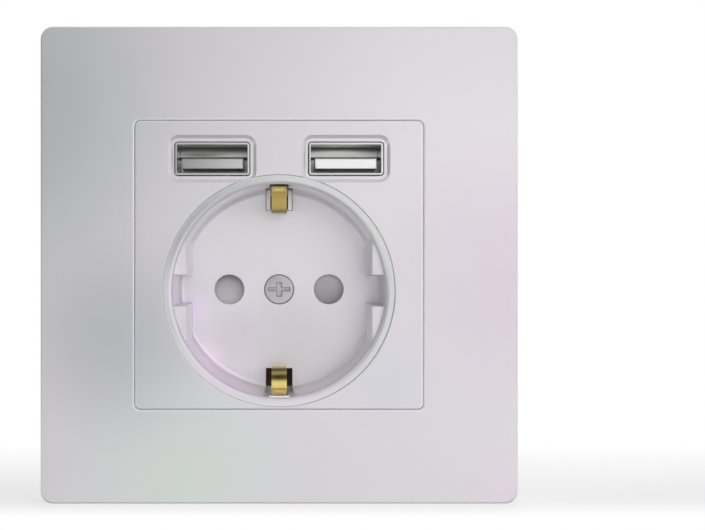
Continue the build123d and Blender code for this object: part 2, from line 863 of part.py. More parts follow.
with BuildPart() as terminal_screws:
    for x in terminal_places.values():
        post(clamp_head_r, clamp_head_z - clamp_head_t, clamp_head_z, x, clamp_y)
        post(clamp_r, clamp_head_z, wire_z - wire_hole_r - running, x, clamp_y)
        block(
            x - clamp_head_r,
            x + clamp_head_r,
            clamp_y - drive_slot_w / 2,
            clamp_y + drive_slot_w / 2,
            clamp_head_z - clamp_head_t,
            clamp_head_z - clamp_head_t / 2,
            Mode.SUBTRACT,
        )
save(terminal_screws, "terminal_screws")

# Port shells, tongues and contact strips, one set on each side
for side, way in sides.items():
    x = way * port_x
    with BuildPart() as shell:
        with BuildSketch(at(shell_back_y)):
            with Locations((x, port_z)):
                RectangleRounded(shell_w, shell_h, shell_r)
                RectangleRounded(
                    shell_w - 2 * shell_t,
                    shell_h - 2 * shell_t,
                    shell_r - shell_t,
                    mode=Mode.SUBTRACT,
                )
        extrude(amount=shell_len)
        fillet(shell.faces().sort_by(Axis.Y)[0].outer_wire().edges(), shell_edge_r)
    save(shell, f"usb_shell_{side}")

    root_w = shell_w - 2 * shell_t - snug
    root_h = shell_h - 2 * shell_t - snug
    strip_xs = [x + pin_pitch * (n - 1.5) for n in range(4)]
    with BuildPart() as tongue:
        with BuildSketch(at(shell_back_y)):
            with Locations((x, port_z)):
                RectangleRounded(root_w, root_h, shell_r - shell_t)
        extrude(amount=shell_back_y - tongue_root_y)
        with BuildSketch(at(tongue_root_y)):
            with Locations((x, tongue_z)):
                Rectangle(tongue_w, tongue_h)
        extrude(amount=tongue_len)
        chamfer(tongue.faces().sort_by(Axis.Y)[0].edges(), tongue_edge)
        for strip_x in strip_xs:
            block(
                strip_x - pin_w / 2 - running,
                strip_x + pin_w / 2 + running,
                tongue_y + pin_sink - running,
                shell_back_y,
                tongue_top - pin_t - running,
                tongue_top + running,
                Mode.SUBTRACT,
            )
    save(tongue, f"usb_tongue_{side}")

    with BuildPart() as strips:
        for strip_x in strip_xs:
            block(
                strip_x - pin_w / 2,
                strip_x + pin_w / 2,
                tongue_y + pin_sink,
                shell_back_y + pin_t,
                tongue_top - pin_t,
                tongue_top,
            )
            block(
                strip_x - pin_w / 2,
                strip_x + pin_w / 2,
                shell_back_y,
                shell_back_y + pin_t,
                tongue_top - pin_t,
                board_z,
            )
    save(strips, f"usb_contacts_{side}")

# Port board, lying across the top of the housing above both ports
with BuildPart() as port_board:
    block(-board_x, board_x, board_front, rear_y - moving, board_z, board_z + board_t)
    chamfer(port_board.edges().filter_by(Axis.Z), board_t / 2)
save(port_board, "port_board")

# Transformer: a two-window core with a coil round its middle leg
core_low = board_z - core_z
window_x = core_x / 2 - core_yoke
coil_low = core_low + core_yoke + snug
coil_high = board_z - core_yoke - snug
with BuildPart() as transformer_core:
    core_front = transformer_y - core_y / 2
    core_back = transformer_y + core_y / 2
    block(-core_x / 2, core_x / 2, core_front, core_back, core_low, board_z)
    for x0, x1 in ((-window_x, -core_leg / 2), (core_leg / 2, window_x)):
        block(x0, x1, core_front, core_back, core_low + core_yoke, board_z - core_yoke, Mode.SUBTRACT)
save(transformer_core, "transformer_core")

with BuildPart() as transformer_coil:
    with BuildSketch(Plane.XY.offset(coil_low)):
        with Locations((0, transformer_y)):
            RectangleRounded(2 * window_x - 2 * snug, coil_y, coil_r)
            Rectangle(core_leg + snug, core_y + snug, mode=Mode.SUBTRACT)
    extrude(amount=coil_high - coil_low)
save(transformer_coil, "transformer_coil")

with BuildPart() as input_capacitor:
    input_cap_y = rear_y - 2 * moving - input_cap_l
    input_cap_end = input_cap_y + input_cap_l
    rod(input_cap_r, input_cap_y, input_cap_end, input_cap_x, board_z - input_cap_r)
    fillet(input_capacitor.edges().filter_by(GeomType.CIRCLE), cap_edge)
save(input_capacitor, "input_capacitor")

with BuildPart() as output_capacitors:
    output_cap_y = shell_back_y + output_cap_r
    output_cap_end = output_cap_y + output_cap_l
    for x in (-2 * output_cap_r, 2 * output_cap_r):
        rod(output_cap_r, output_cap_y, output_cap_end, x, board_z - output_cap_r)
    fillet(output_capacitors.edges().filter_by(GeomType.CIRCLE), cap_edge)
save(output_capacitors, "output_capacitors")

with BuildPart() as driver_chip:
    chip_y = shell_back_y + chip_back
    block(-chip_x - chip_w / 2, chip_w / 2 - chip_x, chip_y, chip_y + chip_l, board_z - chip_t, board_z)
    chamfer(driver_chip.faces().sort_by(Axis.Z)[0].edges(), chip_t / 6)
save(driver_chip, "driver_chip")

choke_x = -input_cap_x
with BuildPart() as filter_choke:
    choke_z = board_z - choke_h
    choke_y = transformer_y - core_y
    post(choke_r, choke_z, choke_z + choke_rim, choke_x, choke_y)
    post(choke_core_r, choke_z, board_z, choke_x, choke_y)
    post(choke_r, board_z - choke_rim, board_z, choke_x, choke_y)
save(filter_choke, "filter_choke")

with BuildPart() as fuse:
    rod(fuse_r, transformer_y, transformer_y + fuse_l, choke_x, board_z - fuse_r)
save(fuse, "fuse")

# Feed wires, upright from each contact strap to the board
with BuildPart() as feed_wires:
    for x, z in pin_places:
        post(feed_r, z + sleeve_in_r + feed_r, board_z, x, strap_back_y + feed_r)
save(feed_wires, "feed_wires")

# Rear cover with three wire entries and vents behind the board
with BuildPart() as rear_cover:
    with BuildSketch(at(cover_y)):
        housing_outline(0)
        with Locations([(x, wire_z) for x in terminal_places.values()]):
            Circle(wire_entry_r, mode=Mode.SUBTRACT)
        with Locations([(way * x, z) for way in (1, -1) for x, z in (low_boss, high_boss)]):
            Circle(fix_r + snug, mode=Mode.SUBTRACT)
        with Locations((0, (shelf_z + board_z) / 2)):
            with GridLocations(vent_pitch, 1, vent_count, 1):
                SlotOverall(vent_l, vent_w, rotation=90, mode=Mode.SUBTRACT)
    extrude(amount=rear_cover_t)
    entry_rims = rear_cover.faces().sort_by(Axis.Y)[-1].edges().filter_by(
        lambda e: abs(e.length - tau * wire_entry_r) < 0.01
    )
    chamfer(entry_rims, rear_cover_t / 3)
    chamfer(rear_cover.faces().sort_by(Axis.Y)[-1].outer_wire().edges(), rear_bevel)
    for n in (-1.5, -0.5, 0.5, 1.5):
        x = n * terminal_pitch
        block(
            x - barrier_t / 2,
            x + barrier_t / 2,
            cover_y,
            cover_y + barrier_h,
            wire_z - barrier_down,
            wire_z + barrier_up,
        )
save(rear_cover, "rear_cover")

with BuildPart() as rear_cover_screws:
    for x, z in (low_boss, high_boss):
        for way in (1, -1):
            head_y = cover_y + fix_head_t
            rod(fix_head_r, cover_y, head_y, way * x, z)
            rod(fix_r, rear_y - 5 * fix_r, cover_y, way * x, z)
            cross_drive(fix_drive_l, fix_drive_w, head_y - fix_drive_depth, head_y, way * x, z)
save(rear_cover_screws, "rear_cover_screws")

# Support plate: sheet steel with ears for the claws and threaded collars for their screws
with BuildPart() as support_plate:
    with BuildSketch(at(0)):
        RectangleRounded(plate_size, plate_size, plate_corner_r)
        with Locations((0, wall_screw_z), (0, -wall_screw_z)):
            Circle(wall_screw_r, mode=Mode.SUBTRACT)
        with GridLocations(2 * spare_slot_x, 2 * spare_slot_z, 2, 2):
            SlotOverall(spare_slot_l, spare_slot_w, mode=Mode.SUBTRACT)
    extrude(amount=plate_t)
    with BuildSketch(at(0)):
        housing_outline(-snug)
    extrude(amount=plate_t, mode=Mode.SUBTRACT)
    for way in (1, -1):
        rod(thread_collar_r, -plate_t, thread_collar_l, way * claw_screw_x)
        rod(claw_screw_r + running, -plate_t, thread_collar_l, way * claw_screw_x, mode=Mode.SUBTRACT)
        for up in (1, -1):
            z0 = up * (claw_w / 2 + moving)
            z1 = z0 + up * ear_t
            with BuildSketch(Plane.XY.offset(min(z0, z1))):
                with Locations((way * claw_x, (claw_y - plate_t) / 2)):
                    Rectangle(2 * ear_half, claw_y + plate_t)
                with Locations((way * claw_x, claw_y)):
                    Circle(ear_half)
                    Circle(trunnion_r + running, mode=Mode.SUBTRACT)
            extrude(amount=ear_t)
            rod(fix_r + running, -plate_t, 0, way * fix_x, up * fix_z, Mode.SUBTRACT)
save(support_plate, "support_plate")

with BuildPart() as plate_screws:
    for x in (fix_x, -fix_x):
        for z in (fix_z, -fix_z):
            head_y = flange_y - fix_head_t
            rod(fix_head_r, head_y, flange_y, x, z)
            rod(fix_r, flange_y, flange_y + fix_len, x, z)
            cross_drive(fix_drive_l, fix_drive_w, head_y, head_y + fix_drive_depth, x, z)
save(plate_screws, "plate_screws")

# Claws: bell-crank levers on trunnions, spread by a screw that bears on the inner arm
for side, way in sides.items():
    with BuildPart() as claw:
        with BuildSketch(Plane.XY.offset(-claw_w / 2)):
            with BuildLine():
                FilletPolyline(
                    (way * claw_arm_in, claw_y),
                    (way * claw_x, claw_y),
                    (way * claw_foot[0], claw_foot[1]),
                    (way * claw_toe[0], claw_toe[1]),
                    radius=claw_bend_r,
                )
            trace(line_width=claw_t)
            with Locations((way * claw_x, claw_y)):
                Circle(claw_hub_r)
        extrude(amount=claw_w)
        for n in (-1, 0, 1):
            with BuildSketch(Plane.XY.offset(n * claw_w / 3 - claw_t / 2)):
                with Locations((way * claw_toe[0], claw_toe[1])):
                    Circle(claw_t)
            extrude(amount=claw_t, mode=Mode.SUBTRACT)
        post(
            trunnion_r,
            -claw_w / 2 - moving - ear_t,
            claw_w / 2 + moving + ear_t,
            way * claw_x,
            claw_y,
        )
    save(claw, f"claw_{side}")

    tip_y = claw_y - claw_t / 2 - claw_screw_touch
    under_y = -plate_t - claw_screw_travel - moving
    with BuildPart() as claw_screw:
        rod(claw_screw_head_r, under_y - claw_screw_head_t, under_y, way * claw_screw_x)
        fillet(claw_screw.edges().group_by(Axis.Y)[0], claw_screw_head_t / 4)
        rod(claw_screw_r, under_y, tip_y, way * claw_screw_x)
        chamfer(claw_screw.edges().group_by(Axis.Y)[-1], claw_screw_r - claw_screw_tip_r)
        block(
            way * claw_screw_x - claw_screw_head_r,
            way * claw_screw_x + claw_screw_head_r,
            under_y - claw_screw_head_t,
            under_y - claw_screw_head_t / 2,
            -drive_slot_w / 2,
            drive_slot_w / 2,
            Mode.SUBTRACT,
        )
    save(claw_screw, f"claw_screw_{side}")
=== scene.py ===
# %% [markdown]
# # Dressing a wall socket with two charging ports
# The solids of this socket are already true in size: frame, plate, plug recess, ports, claws.
# What they lack is their finish: pearl plastic, brass, nickel, zinc. This lesson loads the solids
# as a fixed frame, gives each one a finish made of procedural nodes, adds the small worked
# details that a maker would see on the bench, and sets up a plain white studio around it.

import math

import bmesh
import bpy
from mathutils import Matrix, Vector


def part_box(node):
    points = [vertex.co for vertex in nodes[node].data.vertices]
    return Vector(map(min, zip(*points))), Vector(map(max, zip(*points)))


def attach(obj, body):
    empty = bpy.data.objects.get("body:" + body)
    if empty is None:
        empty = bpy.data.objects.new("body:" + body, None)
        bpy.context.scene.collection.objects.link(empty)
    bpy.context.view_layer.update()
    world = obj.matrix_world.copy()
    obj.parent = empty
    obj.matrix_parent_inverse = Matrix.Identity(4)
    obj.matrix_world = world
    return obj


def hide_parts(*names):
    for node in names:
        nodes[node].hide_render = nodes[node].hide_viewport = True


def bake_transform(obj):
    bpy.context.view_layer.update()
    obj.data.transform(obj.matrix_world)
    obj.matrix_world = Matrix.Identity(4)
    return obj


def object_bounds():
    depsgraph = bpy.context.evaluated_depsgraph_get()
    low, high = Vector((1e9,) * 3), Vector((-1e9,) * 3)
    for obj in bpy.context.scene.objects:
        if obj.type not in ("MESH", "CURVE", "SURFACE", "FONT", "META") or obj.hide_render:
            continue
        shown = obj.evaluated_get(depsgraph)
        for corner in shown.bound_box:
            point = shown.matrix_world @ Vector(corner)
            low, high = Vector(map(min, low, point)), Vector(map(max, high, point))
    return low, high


MM = 0.001

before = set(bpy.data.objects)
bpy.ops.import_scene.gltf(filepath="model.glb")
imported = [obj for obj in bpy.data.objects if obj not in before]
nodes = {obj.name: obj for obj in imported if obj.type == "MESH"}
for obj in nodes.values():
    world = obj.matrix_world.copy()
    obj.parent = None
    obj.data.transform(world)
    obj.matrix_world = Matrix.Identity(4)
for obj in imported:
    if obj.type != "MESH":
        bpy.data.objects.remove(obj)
cad_low, cad_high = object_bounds()
print("solids:", len(nodes), "box in mm:", [round(v / MM, 2) for v in cad_high - cad_low])

# %% [markdown]
# ## Helpers for finishes
# A finish is a small node tree. Most of them need the same three things: a grain (noise at the
# true scale of the surface), a colour that wanders a little along with it, and a roughness and a
# bump that follow it. One could wire every node by hand; a few short helpers leave each finish
# with only the lines that make it what it is. Object coordinates are used, so the grain is tied
# to the piece and has the same size on a screw and on the frame.

# %% Nodes and sums
NUMBER_SUMS = ("DISTANCE", "LENGTH", "DOT_PRODUCT")


def new_finish(name):
    """A new material, its node tree and its Principled shader."""
    material = bpy.data.materials.new(name)
    material.use_nodes = True
    tree = material.node_tree
    return material, tree, tree.nodes["Principled BSDF"]


def add(tree, kind, inputs=None, **properties):
    """One node, with its properties and the plain values of its sockets."""
    node = tree.nodes.new(kind)
    for key, value in properties.items():
        setattr(node, key, value)
    for key, value in (inputs or {}).items():
        node.inputs[key].default_value = value
    return node


def fed(tree, node, *terms):
    """The node with its first sockets fed, each by a plain value or by another node."""
    for socket, term in zip(node.inputs, terms):
        if isinstance(term, bpy.types.NodeSocket):
            tree.links.new(term, socket)
        else:
            socket.default_value = term
    return node


def number(tree, operation, *terms):
    """The result of one sum on numbers."""
    return fed(tree, add(tree, "ShaderNodeMath", operation=operation), *terms).outputs[0]


def vector(tree, operation, *terms):
    """The result of one sum on vectors, which for some of them is a number."""
    node = fed(tree, add(tree, "ShaderNodeVectorMath", operation=operation), *terms)
    return node.outputs["Value" if operation in NUMBER_SUMS else "Vector"]


print("sums on vectors that give a number:", NUMBER_SUMS)

# %% Places and grain
GRAIN_DETAIL = 3.0


def here(tree):
    """The place on the part, in metres."""
    return add(tree, "ShaderNodeTexCoord").outputs["Object"]


def along(tree, axis):
    """The place on the part along X, Y or Z, in metres."""
    return fed(tree, add(tree, "ShaderNodeSeparateXYZ"), here(tree)).outputs[axis]


def grain(tree, size_mm, stretch=(1, 1, 1)):
    """Noise whose clouds are about size_mm wide; stretch lengthens them along an axis."""
    scale = [1.0 / (size_mm * MM * s) for s in stretch]
    spread = fed(tree, add(tree, "ShaderNodeMapping", {"Scale": scale}), here(tree))
    noise = add(tree, "ShaderNodeTexNoise", {"Scale": 1.0, "Detail": GRAIN_DETAIL})
    return fed(tree, noise, spread.outputs["Vector"]).outputs["Fac"]


print("noise detail:", GRAIN_DETAIL)

# %% Ramps
NOISE_LOW = 0.3
NOISE_HIGH = 0.7


def between(tree, value, low, high, start=NOISE_LOW, end=NOISE_HIGH, run="LINEAR"):
    """A number that runs from low to high as the value runs from start to end."""
    limits = {"From Min": start, "From Max": end, "To Min": low, "To Max": high}
    ramp = add(tree, "ShaderNodeMapRange", limits, interpolation_type=run)
    return fed(tree, ramp, value).outputs["Result"]


def two_tone(tree, value, dark, light, start=NOISE_LOW, end=NOISE_HIGH):
    """A colour that runs from dark to light as the value runs from start to end."""
    ramp = add(tree, "ShaderNodeValToRGB")
    for point, place, colour in zip(ramp.color_ramp.elements, (start, end), (dark, light)):
        point.position = place
        point.color = (*colour, 1.0)
    return fed(tree, ramp, value).outputs["Color"]


def many_tone(tree, value, stops):
    """A colour that runs through several stops {value: colour}, from the lowest value up."""
    low, high = min(stops), max(stops)
    share = between(tree, value, 0.0, 1.0, low, high)
    ramp = add(tree, "ShaderNodeValToRGB")
    points = ramp.color_ramp.elements
    for place in sorted(stops)[1:-1]:
        points.new((place - low) / (high - low))
    for point, place in zip(points, sorted(stops)):
        point.color = (*stops[place], 1.0)
    return fed(tree, ramp, share).outputs["Color"]


print("noise is read from", NOISE_LOW, "to", NOISE_HIGH)

# %% Layers of colour
def laid_over(tree, share, under, over):
    """A colour, plain or from a node, laid over another one by a share from 0 to 1."""
    mix = add(tree, "ShaderNodeMix", data_type="RGBA")
    tree.links.new(share, mix.inputs["Factor"])
    tree.links.new(under, mix.inputs["A"])
    if isinstance(over, tuple):
        mix.inputs["B"].default_value = (*over, 1.0)
    else:
        tree.links.new(over, mix.inputs["B"])
    return mix.outputs["Result"]


def cloud(tree, under, centre_mm, radius_mm, colour, wide=1.0):
    """One soft cloud of colour round a point of the part; wide stretches it sideways."""
    x, y, z = (c * MM for c in centre_mm)
    narrow = vector(tree, "MULTIPLY", here(tree), (1.0 / wide, 1.0, 1.0))
    reach = vector(tree, "DISTANCE", narrow, (x / wide, y, z))
    share = between(tree, reach, 1.0, 0.0, 0.0, radius_mm * MM, "SMOOTHERSTEP")
    return laid_over(tree, share, under, colour)


def clouded(tree, tone, clouds):
    """A tone with a table of clouds laid over it, the first one lowest."""
    for one_cloud in clouds.values():
        tone = cloud(tree, tone, *one_cloud)
    return tone


def toned(colour, factor):
    """A colour made darker or lighter, no brighter than white."""
    return tuple(min(1.0, c * factor) for c in colour)


def speckled(tree, value, colour, swing):
    """A colour that wanders by its swing along with a noise."""
    return two_tone(tree, value, toned(colour, 1 - swing), toned(colour, 1 + swing))


print("white at nine tenths:", toned((1.0, 1.0, 1.0), 0.9))

# %% Surfaces
def surfaced(tree, shader, tone, gloss, height, depth_mm):
    """Colour, roughness and a bump of a true depth, read by the shader."""
    tree.links.new(tone, shader.inputs["Base Color"])
    tree.links.new(gloss, shader.inputs["Roughness"])
    bump = add(tree, "ShaderNodeBump", {"Strength": 1.0, "Distance": depth_mm * MM})
    tree.links.new(height, bump.inputs["Height"])
    tree.links.new(bump.outputs["Normal"], shader.inputs["Normal"])


def worked_finish(
    name, colour, swing, rough, grain_mm, dent_mm, metallic=0.0, stretch=(1, 1, 1), clouds=None
):
    """Finish with one grain that moves colour, roughness and height together."""
    material, tree, shader = new_finish(name)
    shader.inputs["Metallic"].default_value = metallic
    value = grain(tree, grain_mm, stretch)
    tone = clouded(tree, speckled(tree, value, colour, swing), clouds or {})
    surfaced(tree, shader, tone, between(tree, value, *rough), value, dent_mm)
    return material


print("materials so far:", len(bpy.data.materials))

# %% [markdown]
# ## Painted light along the seams
# Light is painted into the pearl along two seams: the square one between plate and frame, and
# the round one between plate and recess, which fades out to the right. The frame's lowest edge
# gets painted light as well. A mask could be painted for it; a distance from the seam, worked out
# in nodes, follows the rounded corners and stays sharp at any size. The walls of the shaded gap get
# the most painted light, so that the seam reads as a fine grey line and not as a black one.

# %% Distances on the face
PAST_ANY_DEPTH = 1.0


def off_axis(tree):
    """Distance from the axis of the round recess, in metres."""
    low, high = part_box("socket_pot")
    flat = vector(tree, "MULTIPLY", here(tree), (1.0, 0.0, 1.0))
    return vector(tree, "DISTANCE", flat, ((low.x + high.x) / 2, 0.0, (low.z + high.z) / 2))


def off_square(tree, half, corner):
    """Distance from a square's core: it equals corner all round the square's rounded edge."""
    core = half - corner
    folded = vector(tree, "ABSOLUTE", here(tree))
    past = vector(tree, "SUBTRACT", folded, (core, PAST_ANY_DEPTH, core))
    return vector(tree, "LENGTH", vector(tree, "MAXIMUM", past, (0.0, 0.0, 0.0)))


def close_to(tree, value, mark, full, none, most=1.0):
    """A share that is at its most within full of a mark, and 0 beyond none."""
    off = number(tree, "ABSOLUTE", number(tree, "SUBTRACT", value, mark))
    return between(tree, off, most, 0.0, full, none)


pot_low, pot_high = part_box("socket_pot")
RING_R = (pot_high.x - pot_low.x) / 2
print("ring of the recess, radius in mm:", round(RING_R / MM, 2))

# %% Seams and foot
SEAM_OUT = 26.05 * MM
SEAM_CORNER = 1.0 * MM
SEAM_HALF = (0.20 * MM, 0.55 * MM)
# Painted light: a pale band along the seam between plate and frame.
SEAM_PAINTED_LIGHT = (0.88, 0.92, 1.0)
SEAM_SHARE = 0.45
GAP_HALF = (0.14 * MM, 0.22 * MM)
# Painted light: full white on the walls of the shaded gap, at the foot and on the ring's seam.
PAINTED_LIGHT_WHITE = (1.0, 0.98, 1.0)
GAP_LEFT = 0.5
GAP_FADE = (-25.7 * MM, -24.0 * MM)
# Painted light along the frame's lowest edge.
PAINTED_LIGHT_FOOT_EDGE = (0.10 * MM, 0.40 * MM)
# Painted light on the seam round the ring, fading out to the right.
RING_HALF = (0.03 * MM, 0.16 * MM)
RING_SHARE = 0.7
RING_FADE = (4.0 * MM, 17.0 * MM)


def painted_light_ring(tree, tone):
    """Painted light where the plate and the ring of the recess meet, fading to the right."""
    edge = close_to(tree, off_axis(tree), RING_R, *RING_HALF)
    fade = between(tree, along(tree, "X"), RING_SHARE, 0.0, *RING_FADE)
    return laid_over(tree, number(tree, "MULTIPLY", edge, fade), tone, PAINTED_LIGHT_WHITE)


def painted_light_edges(tree, tone):
    """Painted light where plate and frame meet, most in the gap, and along the frame's lower edge."""
    reach = off_square(tree, SEAM_OUT, SEAM_CORNER)
    seam = close_to(tree, reach, SEAM_CORNER, *SEAM_HALF, SEAM_SHARE)
    tone = laid_over(tree, seam, tone, SEAM_PAINTED_LIGHT)
    # Painted light in the gap, where its shade falls, less of it on the left.
    gap = close_to(tree, reach, SEAM_CORNER, *GAP_HALF)
    fade = between(tree, along(tree, "X"), GAP_LEFT, 1.0, *GAP_FADE)
    tone = laid_over(tree, number(tree, "MULTIPLY", gap, fade), tone, PAINTED_LIGHT_WHITE)
    # Painted light along the frame's foot.
    start, end = (cad_low.z + rise for rise in PAINTED_LIGHT_FOOT_EDGE)
    foot = between(tree, along(tree, "Z"), 1.0, 0.0, start, end)
    return laid_over(tree, foot, tone, PAINTED_LIGHT_WHITE)


print("seam at", round(SEAM_OUT / MM, 2), "mm, ring at", round(RING_R / MM, 2), "mm")

# %% [markdown]
# ## Pearl plastic
# The frame, the plate and the recess are moulded in a white plastic with a pearl pigment: soft
# clouds of rose, mint and pale blue lie over a white ground, far wider than any grain. Two
# steel-grey clouds on the left are painted shade, darkening the side where the light falls off.
# One could paint a picture for that, but a few round clouds, each a distance from a point of the
# part fed through a smooth ramp, stay sharp at any size. Painted shade on the left rims of the two
# port pockets comes from such clouds too, squeezed to a line. The pigment's flakes mirror a
# little, so a share of the shader is metallic. The mould's texture is a bump of less than a
# thousandth of a millimetre.

# %% Pearl on the frame and the plate
PEARL_WHITE = (0.82, 0.795, 0.83)
PEARL_SWING = 0.005
PEARL_LUSTRE = 0.45
PEARL_ROUGH = (0.285, 0.33)
PEARL_GRAIN = 0.4
PEARL_DENT = 0.0006
# Each cloud: its centre and radius in mm, its colour, and how wide it is for its height.
FACE_TINTS_AND_PAINTED_SHADE = {
    "rose_right": ((42, 0, -2), 36, (0.785, 0.685, 0.765)),
    "grey_corner": ((42, 0, 42), 26, (0.78, 0.77, 0.79)),
    "mint_low": ((-17, 0, -38), 33, (0.775, 0.845, 0.80)),
    # Painted shade: the upper left and lower left are darkened where the light falls off.
    "painted_shade_upper_left": ((-48, 0, 26), 44, (0.63, 0.675, 0.69)),
    "painted_shade_lower_left": ((-29, 0, -13), 28, (0.57, 0.59, 0.61)),
    "rose_corner": ((44, 0, -42), 18, (0.92, 0.76, 0.88)),
    "grey_right": ((25, 0, -2), 20, (0.76, 0.75, 0.78)),
    "sky_plate": ((20, 0, -21), 16, (0.66, 0.70, 0.80)),
    "rose_ports": ((0, 0, 22), 15, (0.82, 0.735, 0.81)),
    # Painted shade: a dark line down the left rim of each port pocket.
    "painted_shade_left_pocket": ((-19.3, -9, 19.2), 4.6, (0.56, 0.545, 0.565), 0.07),
    "painted_shade_right_pocket": ((4.6, -9, 19.2), 4.6, (0.51, 0.50, 0.515), 0.07),
}


def pearl_plastic(name, tone_of):
    """Pearl moulding whose colour is added to its tree by the function tone_of."""
    material, tree, shader = new_finish(name)
    shader.inputs["Metallic"].default_value = PEARL_LUSTRE
    fine = grain(tree, PEARL_GRAIN)
    surfaced(tree, shader, tone_of(tree, fine), between(tree, fine, *PEARL_ROUGH), fine, PEARL_DENT)
    return material


def face_tone(tree, fine):
    """White with its clouds, among them painted shade on the left, and painted light along the seams
    and at the foot.
    """
    tone = clouded(tree, speckled(tree, fine, PEARL_WHITE, PEARL_SWING), FACE_TINTS_AND_PAINTED_SHADE)
    return painted_light_ring(tree, painted_light_edges(tree, tone))


pearl = pearl_plastic("pearl_plastic", face_tone)
print("pearl plastic with", len(FACE_TINTS_AND_PAINTED_SHADE), "clouds")

# %% [markdown]
# ## The recess
# The pot is moulded apart from the plate, and its ring is a shade more mint. Deeper in, its walls
# are given full white as painted light against the shade of the recess, and the floor is a little
# greyer. Clouds of painted shade darken the right wall, the lower floor and the ring's upper left;
# clouds of rose painted light brighten the left and lower walls, the floor's lower left and the
# ring's bottom. Three materials could share the pot, but their borders would show. A colour ramp
# along the depth holds wall and floor, the distance from the recess's axis tells the ring from
# them, and clouds go over both.

# %% Pearl in the recess
# Painted light: the walls, at full white, are lifted against the shade deep in the recess.
RECESS_TONES_PAINTED_LIGHT_WALLS = {
    -7.3 * MM: (0.80, 0.785, 0.815),
    -6.6 * MM: (1.0, 0.965, 1.0),
    6.8 * MM: (1.0, 0.965, 1.0),
    8.0 * MM: (0.83, 0.82, 0.86),
}
RING_MINT = (0.74, 0.765, 0.75)
RING_STARTS = (19.7 * MM, 20.0 * MM)
# Painted shade on the ring's upper left, painted light at its bottom.
RING_PAINTED_SHADE_AND_LIGHT = {
    "shade": ((-16, -9, 6), 25, (0.52, 0.555, 0.58)),
    "light": ((2, -9, -26), 16, (0.87, 0.81, 0.90)),
}
# Painted shade on the floor and the right wall; rose painted light on the left and lower walls and the
# floor's lower left.
RECESS_PAINTED_SHADE_AND_LIGHT = {
    "painted_shade_floor_low": ((2, 8, -14), 14, (0.74, 0.72, 0.755)),
    "painted_shade_floor_low_left": ((-8.5, 8, -14), 8.5, (0.755, 0.715, 0.785)),
    "painted_light_floor_left": ((-17, 8, -8.5), 6, (0.93, 0.84, 0.99)),
    "painted_shade_right_wall": ((21, -2, -4), 12, (0.62, 0.645, 0.69)),
    "painted_light_low_wall": ((-13, -1, -21), 17, (1.0, 0.85, 1.0)),
    "painted_light_left_wall": ((-19, -4, -4), 10, (0.98, 0.88, 0.99)),
    "painted_light_floor_edge": ((-14.5, 8, -18.5), 5.8, (1.0, 0.90, 1.0)),
}


def recess_tone(tree, fine):
    """Wall and floor by depth with painted light on the walls, the ring by its distance from the axis,
    and the clouds of painted shade and light.
    """
    inside = many_tone(tree, along(tree, "Y"), RECESS_TONES_PAINTED_LIGHT_WALLS)
    ring = clouded(tree, speckled(tree, fine, RING_MINT, PEARL_SWING), RING_PAINTED_SHADE_AND_LIGHT)
    share = between(tree, off_axis(tree), 0.0, 1.0, *RING_STARTS)
    return clouded(tree, laid_over(tree, share, inside, painted_light_ring(tree, ring)), RECESS_PAINTED_SHADE_AND_LIGHT)


recess_pearl = pearl_plastic("recess_pearl", recess_tone)
print("recess pearl with", len(RECESS_PAINTED_SHADE_AND_LIGHT) + len(RING_PAINTED_SHADE_AND_LIGHT), "clouds")

# %% [markdown]
# ## Metals
# Rolled sheet carries fine lines in the direction in which it was worked; plated screws and wire
# have an even grain. An anisotropic shader could stretch the shine, but each piece would need
# tangents for it. A noise that is stretched along the lines does without; its depth stays well
# under a hundredth of a millimetre, so that the metal still reads as smooth. The earth clip's dark
# bands, at its crease and round its noses, are painted shade, which again is a few clouds.

# %% Clip brass
# Painted shade: dark bands at the clip's crease and round its noses.
CLIP_PAINTED_SHADE = {
    "low_shade": ((0, -4.2, -20.6), 1.5, (0.10, 0.075, 0.02), 4),
    "low_nose": ((0, -2.2, -19.2), 1.9, (0.13, 0.10, 0.025), 4),
    "top_nose": ((0, -1.6, 9.3), 2.6, (0.22, 0.165, 0.06), 4),
    "top_crease": ((0, -6.1, 12.75), 0.6, (0.22, 0.16, 0.02), 8),
}
brass = worked_finish(
    "clip_brass",
    (0.94, 0.76, 0.26),
    swing=0.04,
    rough=(0.18, 0.25),
    grain_mm=0.3,
    dent_mm=0.0003,
    metallic=0.6,
    stretch=(1, 9, 9),
    clouds=CLIP_PAINTED_SHADE,
)
# Counts the clouds of painted shade on the clip.
print("clip brass with", len(CLIP_PAINTED_SHADE), "clouds of painted shade")

# %% Other metals
contact_brass = worked_finish(
    "contact_brass",
    (0.74, 0.56, 0.26),
    swing=0.08,
    rough=(0.29, 0.38),
    grain_mm=0.2,
    dent_mm=0.003,
    metallic=1.0,
)
nickel = worked_finish(
    "port_nickel",
    (0.97, 0.97, 0.96),
    swing=0.03,
    rough=(0.16, 0.24),
    grain_mm=0.15,
    dent_mm=0.0006,
    metallic=1.0,
    stretch=(1, 8, 1),
)
zinc = worked_finish(
    "screw_zinc",
    (0.635, 0.63, 0.64),
    swing=0.05,
    rough=(0.34, 0.44),
    grain_mm=0.2,
    dent_mm=0.002,
    metallic=0.85,
)
spring_steel = worked_finish(
    "spring_steel",
    (0.50, 0.50, 0.52),
    swing=0.06,
    rough=(0.29, 0.36),
    grain_mm=0.08,
    dent_mm=0.002,
    metallic=1.0,
)
gold = worked_finish(
    "contact_gold",
    (0.80, 0.62, 0.24),
    swing=0.06,
    rough=(0.18, 0.26),
    grain_mm=0.1,
    dent_mm=0.001,
    metallic=1.0,
    stretch=(1, 9, 1),
)
print("metals:", [m.name for m in (brass, contact_brass, nickel, zinc, spring_steel, gold)])

